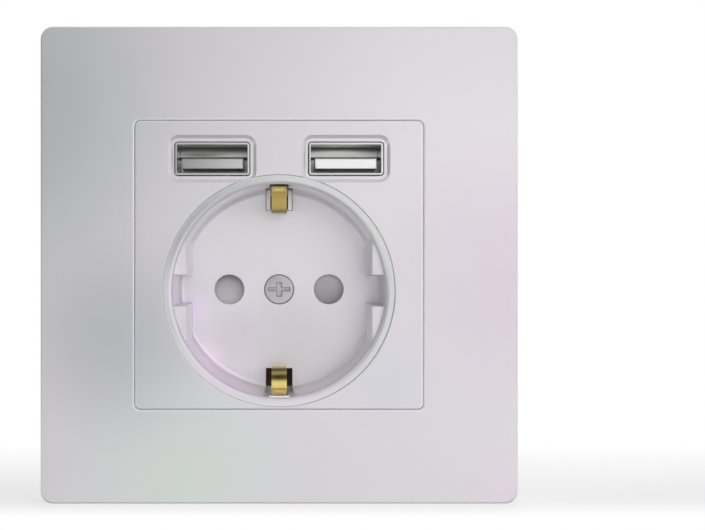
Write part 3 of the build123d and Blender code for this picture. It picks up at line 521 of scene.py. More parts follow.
# %% [markdown]
# ## Port tongues
# The tongue in each port is a silvery bar. A painted reflection runs across the two tongues,
# darker on the left one and white on the right one, and painted shade gives each a dark seam round
# its end. Behind it the insert closes the port, with bands of painted light and painted shade up
# its height, pale just above the tongue and dark under the roof, and a painted shine in the right
# port and painted shade in the left. Two finishes would need two solids where the real part is
# one moulding. One finish does both: it splits them by depth, and runs its tones along the height
# and the width.

# %% Tones of tongue and insert
# Painted reflection: the tongue is darker on the left and white on the right.
TONGUE_LEFT_PAINTED_SHADE = (0.38, 0.38, 0.375)
TONGUE_RIGHT_PAINTED_LIGHT = (1.0, 1.0, 1.0)
TONGUE_BRIGHT_AT = 0.65
# Painted shade on the tongue's sides behind its nose.
TONGUE_SIDES_PAINTED_SHADE = (0.15, 0.15, 0.15)
TONGUE_NOSE = 0.15 * MM
TONGUE_REACH = 8.9 * MM
# Bands of painted light and painted shade up the insert: pale above the tongue, dark under the roof.
INSERT_PAINTED_SHADE_AND_LIGHT = {
    16.6 * MM: (0.55, 0.55, 0.54),
    19.3 * MM: (0.75, 0.75, 0.74),
    19.6 * MM: (0.05, 0.05, 0.05),
    20.05 * MM: (0.05, 0.05, 0.05),
    20.15 * MM: (1.0, 1.0, 1.0),
    20.4 * MM: (0.95, 0.95, 0.94),
    21.3 * MM: (0.10, 0.10, 0.105),
}
# Painted shine in the right port, painted shade in the left.
INSERT_PAINTED_SHINE_AND_SHADE = {
    "painted_shine_right_port": ((11, 0.65, 20.75), 0.95, (1.0, 1.0, 1.0), 11),
    "painted_shade_left_port": ((-15, 0.65, 20.6), 1.0, (0.34, 0.34, 0.335), 8),
}


def tongue_tone(tree):
    """Silver with a painted reflection that brightens to the right, painted shade on the sides behind
    the nose, and the insert's painted light and shade.
    """
    near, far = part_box("usb_tongue_left")[0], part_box("usb_tongue_right")[1]
    root = near.y + TONGUE_REACH
    depth = along(tree, "Y")
    width = between(tree, along(tree, "X"), 0.0, 1.0, near.x, far.x)
    silver_painted_reflection = two_tone(tree, width, TONGUE_LEFT_PAINTED_SHADE, TONGUE_RIGHT_PAINTED_LIGHT, 0.0, TONGUE_BRIGHT_AT)
    past_nose = between(tree, depth, 0.0, 1.0, near.y + TONGUE_NOSE, near.y + 2 * TONGUE_NOSE)
    at_root = between(tree, depth, 0.0, 1.0, root - TONGUE_NOSE, root)
    insert = clouded(tree, many_tone(tree, along(tree, "Z"), INSERT_PAINTED_SHADE_AND_LIGHT), INSERT_PAINTED_SHINE_AND_SHADE)
    return laid_over(tree, at_root, laid_over(tree, past_nose, silver_painted_reflection, TONGUE_SIDES_PAINTED_SHADE), insert)


print("tongue from", TONGUE_LEFT_PAINTED_SHADE[0], "to", TONGUE_RIGHT_PAINTED_LIGHT[0], "and", len(INSERT_PAINTED_SHADE_AND_LIGHT), "tones behind it")

# %% Tongue finish
TONGUE_LUSTRE = 0.5
TONGUE_ROUGH = (0.30, 0.36)
TONGUE_GRAIN = 0.12
TONGUE_DENT = 0.0001


def tongue_finish(name):
    material, tree, shader = new_finish(name)
    shader.inputs["Metallic"].default_value = TONGUE_LUSTRE
    fine = grain(tree, TONGUE_GRAIN)
    surfaced(tree, shader, tongue_tone(tree), between(tree, fine, *TONGUE_ROUGH), fine, TONGUE_DENT)
    return material


tongue_silver = tongue_finish("tongue_plastic")
print(tongue_silver.name, "nodes:", len(tongue_silver.node_tree.nodes))

# %% [markdown]
# ## Plain mouldings and small components
# The rest are plain mouldings: the shutter, the housing, whose front wall is given near-white
# painted light where it shows through the slots of the recess, the carrier, and the parts on the
# port board. One grey for all would do behind a closed cover, but the part may be opened. Their
# grain differs in size and depth, as it does between a polished and an eroded mould.

# %% Mouldings
HOUSING_GREY = (0.74, 0.735, 0.74)
# Painted light: the front wall is whiter than the pearl, against the shade of the slots.
HOUSING_PAINTED_LIGHT_TONES = {8.6 * MM: (1.0, 0.98, 1.0), 9.2 * MM: HOUSING_GREY}


def housing_tone(tree, _fine):
    """Painted light, near white, where the housing shows through the slots of the recess; grey behind.
    """
    return many_tone(tree, along(tree, "Y"), HOUSING_PAINTED_LIGHT_TONES)


housing_pearl = pearl_plastic("housing_pearl", housing_tone)
shutter_grey = worked_finish(
    "shutter_plastic", (0.62, 0.60, 0.62), swing=0.03, rough=(0.42, 0.52), grain_mm=0.2, dent_mm=0.002
)
housing_grey = worked_finish(
    "housing_plastic", HOUSING_GREY, swing=0.02, rough=(0.44, 0.56), grain_mm=0.3, dent_mm=0.004
)
carrier_brown = worked_finish(
    "carrier_plastic",
    (0.13, 0.085, 0.065),
    swing=0.20,
    rough=(0.40, 0.55),
    grain_mm=0.25,
    dent_mm=0.004,
)
print("mouldings:", [m.name for m in (housing_pearl, shutter_grey, housing_grey, carrier_brown)])

# %% Components on the board
ferrite = worked_finish(
    "ferrite", (0.075, 0.075, 0.08), swing=0.25, rough=(0.55, 0.75), grain_mm=0.15, dent_mm=0.006
)
coil_tape = worked_finish(
    "coil_tape", (0.78, 0.60, 0.10), swing=0.06, rough=(0.30, 0.42), grain_mm=0.6, dent_mm=0.004
)
sleeve_black = worked_finish(
    "capacitor_sleeve", (0.05, 0.06, 0.10), swing=0.15, rough=(0.29, 0.36), grain_mm=0.4, dent_mm=0.002
)
chip_resin = worked_finish(
    "chip_resin", (0.04, 0.04, 0.042), swing=0.20, rough=(0.50, 0.65), grain_mm=0.1, dent_mm=0.003
)
fuse_red = worked_finish(
    "fuse_body", (0.42, 0.12, 0.09), swing=0.06, rough=(0.29, 0.40), grain_mm=0.3, dent_mm=0.003
)
wire_blue = worked_finish(
    "wire_insulation", (0.20, 0.22, 0.42), swing=0.06, rough=(0.35, 0.45), grain_mm=0.3, dent_mm=0.002
)
components = (ferrite, coil_tape, sleeve_black, chip_resin, fuse_red, wire_blue)
print("components:", [m.name for m in components])

# %% [markdown]
# ## Galvanised sheet and board laminate
# Hot-dipped zinc freezes in flat crystals. A noise would blur them, so the support plate gets a
# cell texture: each cell has its own tone and gloss. The board is green lacquer over copper
# tracks, which show as slightly raised, slightly lighter bands; the mortar of a brick texture
# gives bands like that.

# %% Spangle
SPANGLE_MM = 2.2
SPANGLE_DARK = (0.50, 0.51, 0.53)
SPANGLE_LIGHT = (0.68, 0.69, 0.70)
SPANGLE_ROUGH = (0.30, 0.46)
SHEET_GRAIN = 0.3
SHEET_DENT = 0.003


def galvanised_sheet(name):
    material, tree, shader = new_finish(name)
    shader.inputs["Metallic"].default_value = 1.0
    cells = add(tree, "ShaderNodeTexVoronoi", {"Scale": 1.0 / (SPANGLE_MM * MM)})
    fed(tree, cells, here(tree))
    crystal = fed(tree, add(tree, "ShaderNodeSeparateColor"), cells.outputs["Color"])
    tone = two_tone(tree, crystal.outputs["Red"], SPANGLE_DARK, SPANGLE_LIGHT, 0.0, 1.0)
    gloss = between(tree, crystal.outputs["Green"], *SPANGLE_ROUGH, 0.0, 1.0)
    surfaced(tree, shader, tone, gloss, grain(tree, SHEET_GRAIN), SHEET_DENT)
    return material


sheet_steel = galvanised_sheet("sheet_steel")
print("spangle", SPANGLE_MM, "mm")

# %% Tracks
TRACK_FIELD_MM = 4.4
TRACK_SHARE = 0.09
TRACK_SOFT = 0.2
TRACK_DENT = 0.03
TRACK_GREEN = (0.05, 0.30, 0.10, 1.0)
LACQUER_DARK = (0.02, 0.16, 0.06, 1.0)
LACQUER_LIGHT = (0.02, 0.19, 0.07, 1.0)
LACQUER_ROUGH = (0.29, 0.36)
LACQUER_GRAIN = 0.4


def board_laminate(name):
    material, tree, shader = new_finish(name)
    layout = {
        "Scale": 1.0 / (TRACK_FIELD_MM * MM),
        "Mortar Size": TRACK_SHARE,
        "Mortar Smooth": TRACK_SOFT,
    }
    tracks = add(tree, "ShaderNodeTexBrick", layout)
    fed(tree, tracks, here(tree), LACQUER_DARK, LACQUER_LIGHT, TRACK_GREEN)
    gloss = between(tree, grain(tree, LACQUER_GRAIN), *LACQUER_ROUGH)
    surfaced(tree, shader, tracks.outputs["Color"], gloss, tracks.outputs["Fac"], TRACK_DENT)
    return material


laminate = board_laminate("board_laminate")
print("tracks round fields of", TRACK_FIELD_MM, "mm")

# %% [markdown]
# ## Each solid gets its finish
# The table below is the parts list seen by a finisher: which pieces leave which line. Finishes
# could be given solid by solid; a table shows at a glance that none was forgotten.

# %% Hand out the finishes
FINISHES = {
    pearl: ["outer_frame", "cover_plate"],
    recess_pearl: ["socket_pot"],
    brass: ["earth_clip"],
    contact_brass: [
        "line_contact",
        "neutral_contact",
        "line_terminal",
        "neutral_terminal",
        "earth_terminal",
    ],
    nickel: ["usb_shell_left", "usb_shell_right"],
    gold: ["usb_contacts_left", "usb_contacts_right"],
    zinc: [
        "centre_screw",
        "screw_nut",
        "terminal_screws",
        "rear_cover_screws",
        "plate_screws",
        "claw_screw_left",
        "claw_screw_right",
    ],
    spring_steel: ["shutter_spring"],
    sheet_steel: ["support_plate", "claw_left", "claw_right"],
    shutter_grey: ["shutter"],
    tongue_silver: ["usb_tongue_left", "usb_tongue_right"],
    housing_pearl: ["housing_body"],
    housing_grey: ["rear_cover"],
    carrier_brown: ["contact_carrier"],
    laminate: ["port_board"],
    ferrite: ["transformer_core", "filter_choke"],
    coil_tape: ["transformer_coil"],
    sleeve_black: ["input_capacitor", "output_capacitors"],
    chip_resin: ["driver_chip"],
    fuse_red: ["fuse"],
    wire_blue: ["feed_wires"],
}


def dress(piece, finish):
    """Give a piece one finish in place of what it had."""
    piece.data.materials.clear()
    piece.data.materials.append(finish)


for finish, names in FINISHES.items():
    for name in names:
        dress(nodes[name], finish)
bare = sorted(set(nodes) - {n for names in FINISHES.values() for n in names})
print("finished:", len(nodes) - len(bare), "bare:", bare)

# %% [markdown]
# ## Turned screws with a real thread
# The solids of the screws are plain rods, which is enough for fits and motion. Here the centre
# screw and the two claw screws are turned again: a grid of points is wound round the axis, and
# along the shank each point is lifted by a ridge that climbs one pitch per turn. A screw modifier
# on a profile would do that too, but a grid closes cleanly at both ends. The drive is cut with a
# boolean, and its cutter narrows below the mouth, so that the edges come out broken as on a real
# head.

# %% Bench helpers
def lofted(rings, work=None):
    """Closed skin through rings of points, capped at both ends, alone or beside others."""
    if work is None:
        work = bmesh.new()
    rows = [[work.verts.new(point) for point in ring] for ring in rings]
    for near, far in zip(rows, rows[1:]):
        for i in range(len(near)):
            j = (i + 1) % len(near)
            work.faces.new((near[i], near[j], far[j], far[i]))
    work.faces.new(rows[0])
    work.faces.new(rows[-1])
    bmesh.ops.recalc_face_normals(work, faces=work.faces)
    return work


def as_object(name, work):
    """An object in the scene, made from a mesh on the bench."""
    mesh = bpy.data.meshes.new(name)
    work.to_mesh(mesh)
    work.free()
    piece = bpy.data.objects.new(name, mesh)
    bpy.context.scene.collection.objects.link(piece)
    return piece


def settled(piece):
    """Bake a piece's modifiers or curve into its own mesh object."""
    name = piece.name
    view = bpy.context.evaluated_depsgraph_get()
    mesh = bpy.data.meshes.new_from_object(piece.evaluated_get(view))
    bpy.data.objects.remove(piece)
    baked = bpy.data.objects.new(name, mesh)
    mesh.name = name
    bpy.context.scene.collection.objects.link(baked)
    return baked


print("bench ready")

# %% Lathe and thread
AROUND = 48
THREAD_PITCH = 0.5 * MM
THREAD_DEPTH = 0.28 * MM
THREAD_FLAT = 0.12


def ridge(turns):
    """Height of a thread from 0 to 1 at a number of turns, with flats at crest and root."""
    wave = 1.0 - abs(2.0 * (turns % 1.0) - 1.0)
    return min(1.0, max(0.0, (wave - THREAD_FLAT) / (1.0 - 2.0 * THREAD_FLAT)))


def lathe(stations, centre_x, centre_z):
    """Closed mesh of rings (depth, radius, thread share) wound round an axis along Y."""
    rings = []
    for depth, radius, share in stations:
        ring = []
        for i in range(AROUND):
            turn = i / AROUND
            sink = share * THREAD_DEPTH * (1.0 - ridge(depth / THREAD_PITCH - turn))
            x = centre_x + (radius - sink) * math.cos(math.tau * turn)
            z = centre_z + (radius - sink) * math.sin(math.tau * turn)
            ring.append((x, depth, z))
        rings.append(ring)
    return lofted(rings)


print("thread pitch", THREAD_PITCH / MM, "mm, depth", THREAD_DEPTH / MM, "mm")

# %% Rings of a screw
EDGE_STEPS = 4
STEPS_PER_PITCH = 10
THREAD_RUNOUT = 0.6 * MM


def screw_stations(front, head_r, head_t, edge_r, shank_r, tip, tip_r):
    """Rings of a screw: rounded head edge, head, threaded shank, pointed tip."""
    stations = []
    for i in range(EDGE_STEPS, -1, -1):
        angle = math.radians(90 * i / EDGE_STEPS)
        depth = front + edge_r * (1 - math.sin(angle))
        stations.append((depth, head_r - edge_r * (1 - math.cos(angle)), 0))
    start = front + head_t
    stations.append((start, head_r, 0))
    taper = tip - (shank_r - tip_r)
    count = round((taper - start) / THREAD_PITCH * STEPS_PER_PITCH)
    for i in range(count + 1):
        depth = start + (taper - start) * i / count
        stations.append((depth, shank_r, min(1.0, (depth - start) / THREAD_RUNOUT)))
    stations.append((tip, tip_r, 0))
    return stations


print("rings a pitch:", STEPS_PER_PITCH, "thread is full after", THREAD_RUNOUT / MM, "mm")

# %% Drive cutters
DRIVE_DEPTH = 0.9 * MM
DRIVE_FLARE = 0.13 * MM
CUT_AHEAD = 0.5 * MM


def bar_outline(length, width):
    """Outline of a plain slot, round its middle."""
    x, z = length / 2, width / 2
    return [(-x, -z), (x, -z), (x, z), (-x, z)]


def cross_outline(length, width, cross_length, cross_width):
    """Outline of a slot with a shorter, wider slot across it."""
    x, z = length / 2, width / 2
    u, v = cross_width / 2, cross_length / 2
    lower = [(-x, -z), (-u, -z), (-u, -v), (u, -v), (u, -z), (x, -z)]
    return lower + [(-px, -pz) for px, pz in lower]


def grown(outline, by):
    """The outline with each corner moved outwards by the same amount on both axes."""
    spread = []
    for i, (x, z) in enumerate(outline):
        before, after = outline[i - 1], outline[(i + 1) % len(outline)]
        side_in = Vector((x - before[0], z - before[1])).normalized()
        side_out = Vector((after[0] - x, after[1] - z)).normalized()
        shift = Vector((side_in.y + side_out.y, -side_in.x - side_out.x)) * by
        spread.append((x + shift.x, z + shift.y))
    return spread


def drive_cutter(outline, front, centre_x, centre_z):
    """Closed cutter: the drive's outline at the mouth, narrower from just below it."""
    levels = (
        (-CUT_AHEAD, 0.0),
        (0.0, 0.0),
        (DRIVE_FLARE, -DRIVE_FLARE),
        (DRIVE_DEPTH, -DRIVE_FLARE),
    )
    rings = []
    for sink, flare in levels:
        rings.append([(centre_x + x, front + sink, centre_z + z) for x, z in grown(outline, flare)])
    return lofted(rings)


print("drives", DRIVE_DEPTH / MM, "mm deep, edges broken by", DRIVE_FLARE / MM, "mm")

# %% Sizes of three screws
CLAW_SCREW = {
    "head_t": 1.8 * MM,
    "edge_r": 0.45 * MM,
    "shank_r": 1.5 * MM,
    "tip_r": 0.3 * MM,
    "drive": bar_outline(7.0 * MM, 0.8 * MM),
}
TURNED_SCREWS = {
    "centre_screw": {
        "body": "socket",
        "head_t": 1.7 * MM,
        "edge_r": 0.2 * MM,
        "shank_r": 1.5 * MM,
        "tip_r": 1.0 * MM,
        "drive": cross_outline(4.35 * MM, 0.8 * MM, 2.85 * MM, 1.15 * MM),
    },
    "claw_screw_left": dict(CLAW_SCREW, body="claw_screw_left"),
    "claw_screw_right": dict(CLAW_SCREW, body="claw_screw_right"),
}
print("screws to turn:", list(TURNED_SCREWS))

# %% Centre screw and claw screws
SMOOTH_UP_TO = math.radians(35)


def smoothed(piece):
    """Smooth shading, apart from edges that are sharp on the real piece."""
    piece.data.shade_smooth()
    piece.data.set_sharp_from_angle(angle=SMOOTH_UP_TO)


def turned_screw(node, body, head_t, edge_r, shank_r, tip_r, drive):
    low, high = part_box(node)
    centre_x, centre_z = (low.x + high.x) / 2, (low.z + high.z) / 2
    rings = screw_stations(low.y, (high.x - low.x) / 2, head_t, edge_r, shank_r, high.y, tip_r)
    screw = as_object(node + "_turned", lathe(rings, centre_x, centre_z))
    cutter = as_object("cutter", drive_cutter(drive, low.y, centre_x, centre_z))
    cut = screw.modifiers.new("drive", "BOOLEAN")
    cut.operation = "DIFFERENCE"
    cut.solver = "EXACT"
    cut.object = cutter
    screw = settled(screw)
    bpy.data.objects.remove(cutter)
    smoothed(screw)
    dress(screw, zinc)
    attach(screw, body)
    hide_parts(node)
    return screw


for node, sizes in TURNED_SCREWS.items():
    screw = turned_screw(node, **sizes)
    print(screw.name, "faces:", len(screw.data.polygons))

# %% [markdown]
# ## The shutter's spring
# A torsion spring turns the shutter back over the pin holes: two turns of wire round the pivot,
# one leg in the shutter and one in the housing. A path with a round bevel makes the wire.

# %% Path of the spring
SPRING_TURNS = 2
SPRING_PITCH = 0.45 * MM
SPRING_WIRE = 0.2 * MM
LEG_BEND = 0.3 * MM
STEPS_PER_TURN = 48
STEPS_PER_BEND = 6


def spring_path(low, high):
    """Points (x, y, z) of the wire in three stretches: first leg with its bend, turns, last leg."""
    radius = (high.x - low.x) / 2 - SPRING_WIRE
    middle_z = low.z + SPRING_WIRE + radius
    top_z = middle_z + radius
    end_y = high.y - SPRING_WIRE
    start_y = end_y - SPRING_TURNS * SPRING_PITCH
    leg = [(0.0, low.y, top_z)]
    for i in range(STEPS_PER_BEND):
        turn = math.radians(90 * i / STEPS_PER_BEND)
        leg.append((LEG_BEND * (1 - math.cos(turn)), start_y - LEG_BEND * (1 - math.sin(turn)), top_z))
    coil = []
    skipped = LEG_BEND / radius
    steps = SPRING_TURNS * STEPS_PER_TURN
    for i in range(steps + 1):
        turn = skipped + (math.tau * SPRING_TURNS - 2 * skipped) * i / steps
        climb = SPRING_PITCH * turn / math.tau
        coil.append((radius * math.sin(turn), start_y + climb, middle_z + radius * math.cos(turn)))
    foot = []
    for i in range(1, STEPS_PER_BEND + 1):
        turn = math.radians(90 * i / STEPS_PER_BEND)
        foot.append((LEG_BEND * (math.sin(turn) - 1), end_y, top_z + LEG_BEND * (1 - math.cos(turn))))
    foot.append((0.0, end_y, high.z))
    return leg, coil, foot


print("spring:", SPRING_TURNS, "turns, pitch", SPRING_PITCH / MM, "mm")

# %% Shutter spring
LEG_SHARE = 0.95
ROUND_STEPS = 3


def wire_piece(name, radius, strokes):
    """Round wires along strokes of points (x, y, z, thickness share), as one mesh piece."""
    line = bpy.data.curves.new(name, "CURVE")
    line.dimensions = "3D"
    line.bevel_depth = radius
    line.bevel_resolution = ROUND_STEPS
    line.use_fill_caps = True
    for stroke in strokes:
        path = line.splines.new("POLY")
        path.points.add(len(stroke) - 1)
        for point, (x, y, z, share) in zip(path.points, stroke):
            point.co = (x, y, z, 1.0)
            point.radius = share
    piece = bpy.data.objects.new(name, line)
    bpy.context.scene.collection.objects.link(piece)
    piece = settled(piece)
    piece.data.shade_smooth()
    return piece


def wound_spring(node):
    leg, coil, foot = spring_path(*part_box(node))
    wire = [(*point, LEG_SHARE) for point in leg]
    wire += [(*point, 1.0) for point in coil]
    wire += [(*point, LEG_SHARE) for point in foot]
    piece = wire_piece(node + "_wound", SPRING_WIRE, [wire])
    dress(piece, spring_steel)
    first, last = Vector(coil[0]), Vector(coil[-1])
    first.y += SPRING_WIRE
    last.y -= SPRING_WIRE
    last.x, last.z = first.x, first.z
    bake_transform(piece)
    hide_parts(node)
    return piece


spring = wound_spring("shutter_spring")
print(spring.name, "faces:", len(spring.data.polygons))

# %% [markdown]
# ## Moulded marks on the rear cover
# Above each wire entry the mould leaves a raised mark: line, earth, neutral. A text object would
# bring the look of a typeface. The marks are strokes with a half-round section, so round wires,
# sunk by half into the cover's face, give them in one go. Seen from behind, left and right change
# places, so the strokes run along minus X.

# %% Terminal marks
MARK_H = 2.6
MARK_W = 1.7
MARK_X = 9.5
MARK_Z = -14.2
MARK_FACE = 33.0 * MM
STROKE_R = 0.22 * MM
BAR_WIDTHS = (2.4, 1.6, 0.8)
BAR_TOP = -0.1
BAR_STEP = 0.55


def mark_strokes():
    """Each mark's place along X and its strokes of points (right, up), in mm."""
    w, h = MARK_W / 2, MARK_H / 2
    earth = [[(0, h), (0, BAR_TOP)]]
    for i, width in enumerate(BAR_WIDTHS):
        level = BAR_TOP - i * BAR_STEP
        earth.append([(-width / 2, level), (width / 2, level)])
    return {
        "mark_line": (MARK_X, [[(-w, h), (-w, -h), (w, -h)]]),
        "mark_earth": (0.0, earth),
        "mark_neutral": (-MARK_X, [[(-w, -h), (-w, h), (w, -h), (w, h)]]),
    }


def raised_mark(name, centre_x, strokes):
    wires = []
    for stroke in strokes:
        wires.append([((centre_x - x) * MM, MARK_FACE, (MARK_Z + z) * MM, 1.0) for x, z in stroke])
    piece = wire_piece(name, STROKE_R, wires)
    dress(piece, housing_grey)
    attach(piece, "socket")
    return piece


for name, (centre_x, strokes) in mark_strokes().items():
    mark = raised_mark(name, centre_x, strokes)
    print(name, "faces:", len(mark.data.polygons))

# %% [markdown]
# ## Sill of the lower clip slot
# In front of the lower clip the mould leaves a sill, a little proud of the recess's wall, which
# stops the clip from being levered out. Its near-white colour is painted light, for the bright
# line along its lit edge. Its section is wound a few degrees round the recess's axis; a bevelled
# box would be straight, and would leave a gap at its ends.

# %% Slot sill
SILL_FOOT = 19.45
SILL_EDGE = 19.10
SILL_TOP = 19.00
SILL_SECTION = (
    (SILL_FOOT, -8.5),
    (SILL_EDGE, -8.5),
    (SILL_TOP, -8.4),
    (SILL_TOP, -8.0),
    (SILL_EDGE, -7.9),
    (SILL_FOOT, -7.9),
)
SILL_HALF = 1.85
SILL_STEPS = 10
# Painted light: near white, brighter than the pearl round it.
sill_pearl_painted_light = worked_finish(
    "sill_pearl_painted_light",
    (0.98, 0.95, 0.94),
    swing=0.01,
    rough=(0.30, 0.36),
    grain_mm=0.2,
    dent_mm=0.001,
    metallic=0.2,
)


def slot_sill(pot):
    low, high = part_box(pot)
    centre_x, centre_z = (low.x + high.x) / 2, (low.z + high.z) / 2
    rows = []
    for i in range(SILL_STEPS + 1):
        turn = SILL_HALF / SILL_FOOT * (2 * i / SILL_STEPS - 1)
        row = []
        for radius, depth in SILL_SECTION:
            x = centre_x + radius * MM * math.sin(turn)
            z = centre_z - radius * MM * math.cos(turn)
            row.append((x, depth * MM, z))
        rows.append(row)
    sill = as_object("slot_sill", lofted(rows))
    smoothed(sill)
    dress(sill, sill_pearl_painted_light)
    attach(sill, "socket")
    return sill


sill = slot_sill("socket_pot")
print("sill faces:", len(sill.data.polygons))

# %% [markdown]
# ## Legs of the chip
# The driver chip stands off the board on bent legs. A bent curve would round their corners. Each
# leg is a flat strip with two bends: a side profile pushed out to the leg's width. Eight of them
# make one piece.

# %% Chip legs
LEG_PITCH = 1.27 * MM
LEGS_A_SIDE = 4
LEG_WIDTH = 0.42 * MM
LEG_T = 0.18 * MM
LEG_OUT = 0.35 * MM
LEG_FOOT = 0.45 * MM


def leg_profile(exit_z, foot_z):
    """Side view of one leg, as points (outwards, z): along its outside, and back."""
    return [
        (0, exit_z),
        (LEG_OUT, exit_z),
        (LEG_OUT + LEG_T, foot_z - LEG_T),
        (LEG_OUT + LEG_FOOT, foot_z - LEG_T),
        (LEG_OUT + LEG_FOOT, foot_z),
        (LEG_OUT, foot_z),
        (LEG_OUT - LEG_T, exit_z + LEG_T),
        (0, exit_z + LEG_T),
    ]


def chip_legs(node, board):
    low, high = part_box(node)
    profile = leg_profile((low.z + high.z) / 2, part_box(board)[0].z)
    work = bmesh.new()
    for edge_x, side in ((low.x, -1), (high.x, 1)):
        for i in range(LEGS_A_SIDE):
            middle = (low.y + high.y) / 2 + (i - (LEGS_A_SIDE - 1) / 2) * LEG_PITCH
            ends = []
            for y in (middle - LEG_WIDTH / 2, middle + LEG_WIDTH / 2):
                ends.append([(edge_x + side * x, y, z) for x, z in profile])
            lofted(ends, work)
    legs = as_object("chip_legs", work)
    dress(legs, zinc)
    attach(legs, "socket")
    return legs


legs = chip_legs("driver_chip", "port_board")
print("chip legs:", 2 * LEGS_A_SIDE, "faces:", len(legs.data.polygons))

# %% [markdown]
# ## Floor
# The socket stands on its lower edge on a white floor. More lamps could make the floor white, but
# they would flood the plastic too. Instead the floor shines white to the lens and in mirrored
# light, apart from a band under and behind the socket, where its shade shows. Seen steeply, as a
# face that looks down sees it, it is darker than at a glance, as a satin floor is.

# %% Light of the floor
BAND_WHITE = 0.60
BAND_FRONT = (-0.024, -0.006)
BAND_BACK = (0.006, 0.08)
MIRROR_SHARE = 0.85
STEEP_GLOW = 0.15
GLANCE_EDGE = (0.25, 0.75)
EVEN_BLEND = 0.5
WHITE = (1.0, 1.0, 1.0, 1.0)


def shared(tree, share, first, second):
    """Two shaders mixed: only the first at a share of 0, only the second at 1."""
    return fed(tree, add(tree, "ShaderNodeMixShader"), share, first, second).outputs["Shader"]


def glow_share(tree, path):
    """How much of the floor's glow shows: by its band to the lens, all over in mirrored light."""
    depth = along(tree, "Y")
    front = between(tree, depth, 1.0, BAND_WHITE, *BAND_FRONT)
    back = between(tree, depth, BAND_WHITE, 1.0, *BAND_BACK)
    band = number(tree, "MAXIMUM", front, back)
    seen = number(tree, "MULTIPLY", path.outputs["Is Camera Ray"], band)
    return number(tree, "MULTIPLY_ADD", path.outputs["Is Glossy Ray"], MIRROR_SHARE, seen)


def floor_glow(tree, path):
    """White to the lens; in mirrored light, dimmer where the floor is seen steeply."""
    slope = add(tree, "ShaderNodeLayerWeight", {"Blend": EVEN_BLEND})
    glance = between(tree, slope.outputs["Facing"], STEEP_GLOW, 1.0, *GLANCE_EDGE)
    level = number(tree, "MAXIMUM", path.outputs["Is Camera Ray"], glance)
    return fed(tree, add(tree, "ShaderNodeEmission"), WHITE, level).outputs["Emission"]


print("shade shows from y =", BAND_FRONT[0], "to", BAND_BACK[1], "m")

# %% Floor
FLOOR_SIZE = 3.0
FLOOR_CELLS = 8
FLOOR_WHITE = 0.92
FLOOR_SWING = 0.005
FLOOR_ROUGH = 0.6
FLOOR_GRAIN = 40.0


def white_floor(height):
    sheet = bmesh.new()
    bmesh.ops.create_grid(
        sheet, x_segments=FLOOR_CELLS, y_segments=FLOOR_CELLS, size=FLOOR_SIZE / 2
    )
    bmesh.ops.translate(sheet, verts=sheet.verts, vec=(0, 0, height))
    floor = as_object("floor", sheet)
    material, tree, shader = new_finish("floor_white")
    shader.inputs["Roughness"].default_value = FLOOR_ROUGH
    dark, light = (FLOOR_WHITE - FLOOR_SWING,) * 3, (FLOOR_WHITE + FLOOR_SWING,) * 3
    tree.links.new(two_tone(tree, grain(tree, FLOOR_GRAIN), dark, light), shader.inputs["Base Color"])
    path = add(tree, "ShaderNodeLightPath")
    glow = floor_glow(tree, path)
    surface = shared(tree, glow_share(tree, path), shader.outputs["BSDF"], glow)
    tree.links.new(surface, tree.nodes["Material Output"].inputs["Surface"])
    dress(floor, material)


white_floor(cad_low.z)
print("floor at", round(cad_low.z / MM, 2), "mm")

# %% [markdown]
# ## White surroundings
# The world is white where the lens looks straight at it. What lights the object is a dim room,
# a little brighter on the right. What the gloss mirrors is a card beside the lens that runs from
# dark at the upper left to bright at the lower right, and white behind the object. A picture of a
# real studio could do the same, but would bring its own colours. So the background stays white
# without flooding the plastic, and the pearl shows a slow shade across.

# %% Room and card
ROOM_LEFT = (0.10, 0.11, 0.11)
ROOM_RIGHT = (0.22, 0.20, 0.21)
ROOM_EDGE = (-0.7, 0.7)
CARD_DARK = (0.10, 0.11, 0.11)
CARD_BRIGHT = (1.0, 0.99, 1.0)
CARD_EDGE = (-0.16, 0.07)
CARD_SLANT = (1.0, 0.0, -0.35)
CEILING = (0.85, 0.85, 0.85)
CEILING_EDGE = (0.20, 0.60)


def background(tree, colour):
    """A background of strength 1, in a plain colour or one from a node."""
    shade = add(tree, "ShaderNodeBackground", {"Strength": 1.0})
    return fed(tree, shade, colour).outputs["Background"]


def dim_room(tree, toward):
    """The room that lights the object, brighter on the right."""
    side = between(tree, toward["X"], 0.0, 1.0, *ROOM_EDGE)
    return background(tree, two_tone(tree, side, ROOM_LEFT, ROOM_RIGHT, 0.0, 1.0))


def slanted_card(tree, place, toward):
    """The card that gloss mirrors, dark to bright, under a pale ceiling."""
    across = between(tree, vector(tree, "DOT_PRODUCT", place, CARD_SLANT), 0.0, 1.0, *CARD_EDGE)
    shade = two_tone(tree, across, CARD_DARK, CARD_BRIGHT, 0.0, 1.0)
    overhead = between(tree, toward["Z"], 0.0, 1.0, *CEILING_EDGE)
    return background(tree, laid_over(tree, overhead, shade, CEILING))


print("card from", CARD_DARK[0], "to", CARD_BRIGHT[0])

# %% World
BEHIND_EDGE = (-0.05, 0.25)


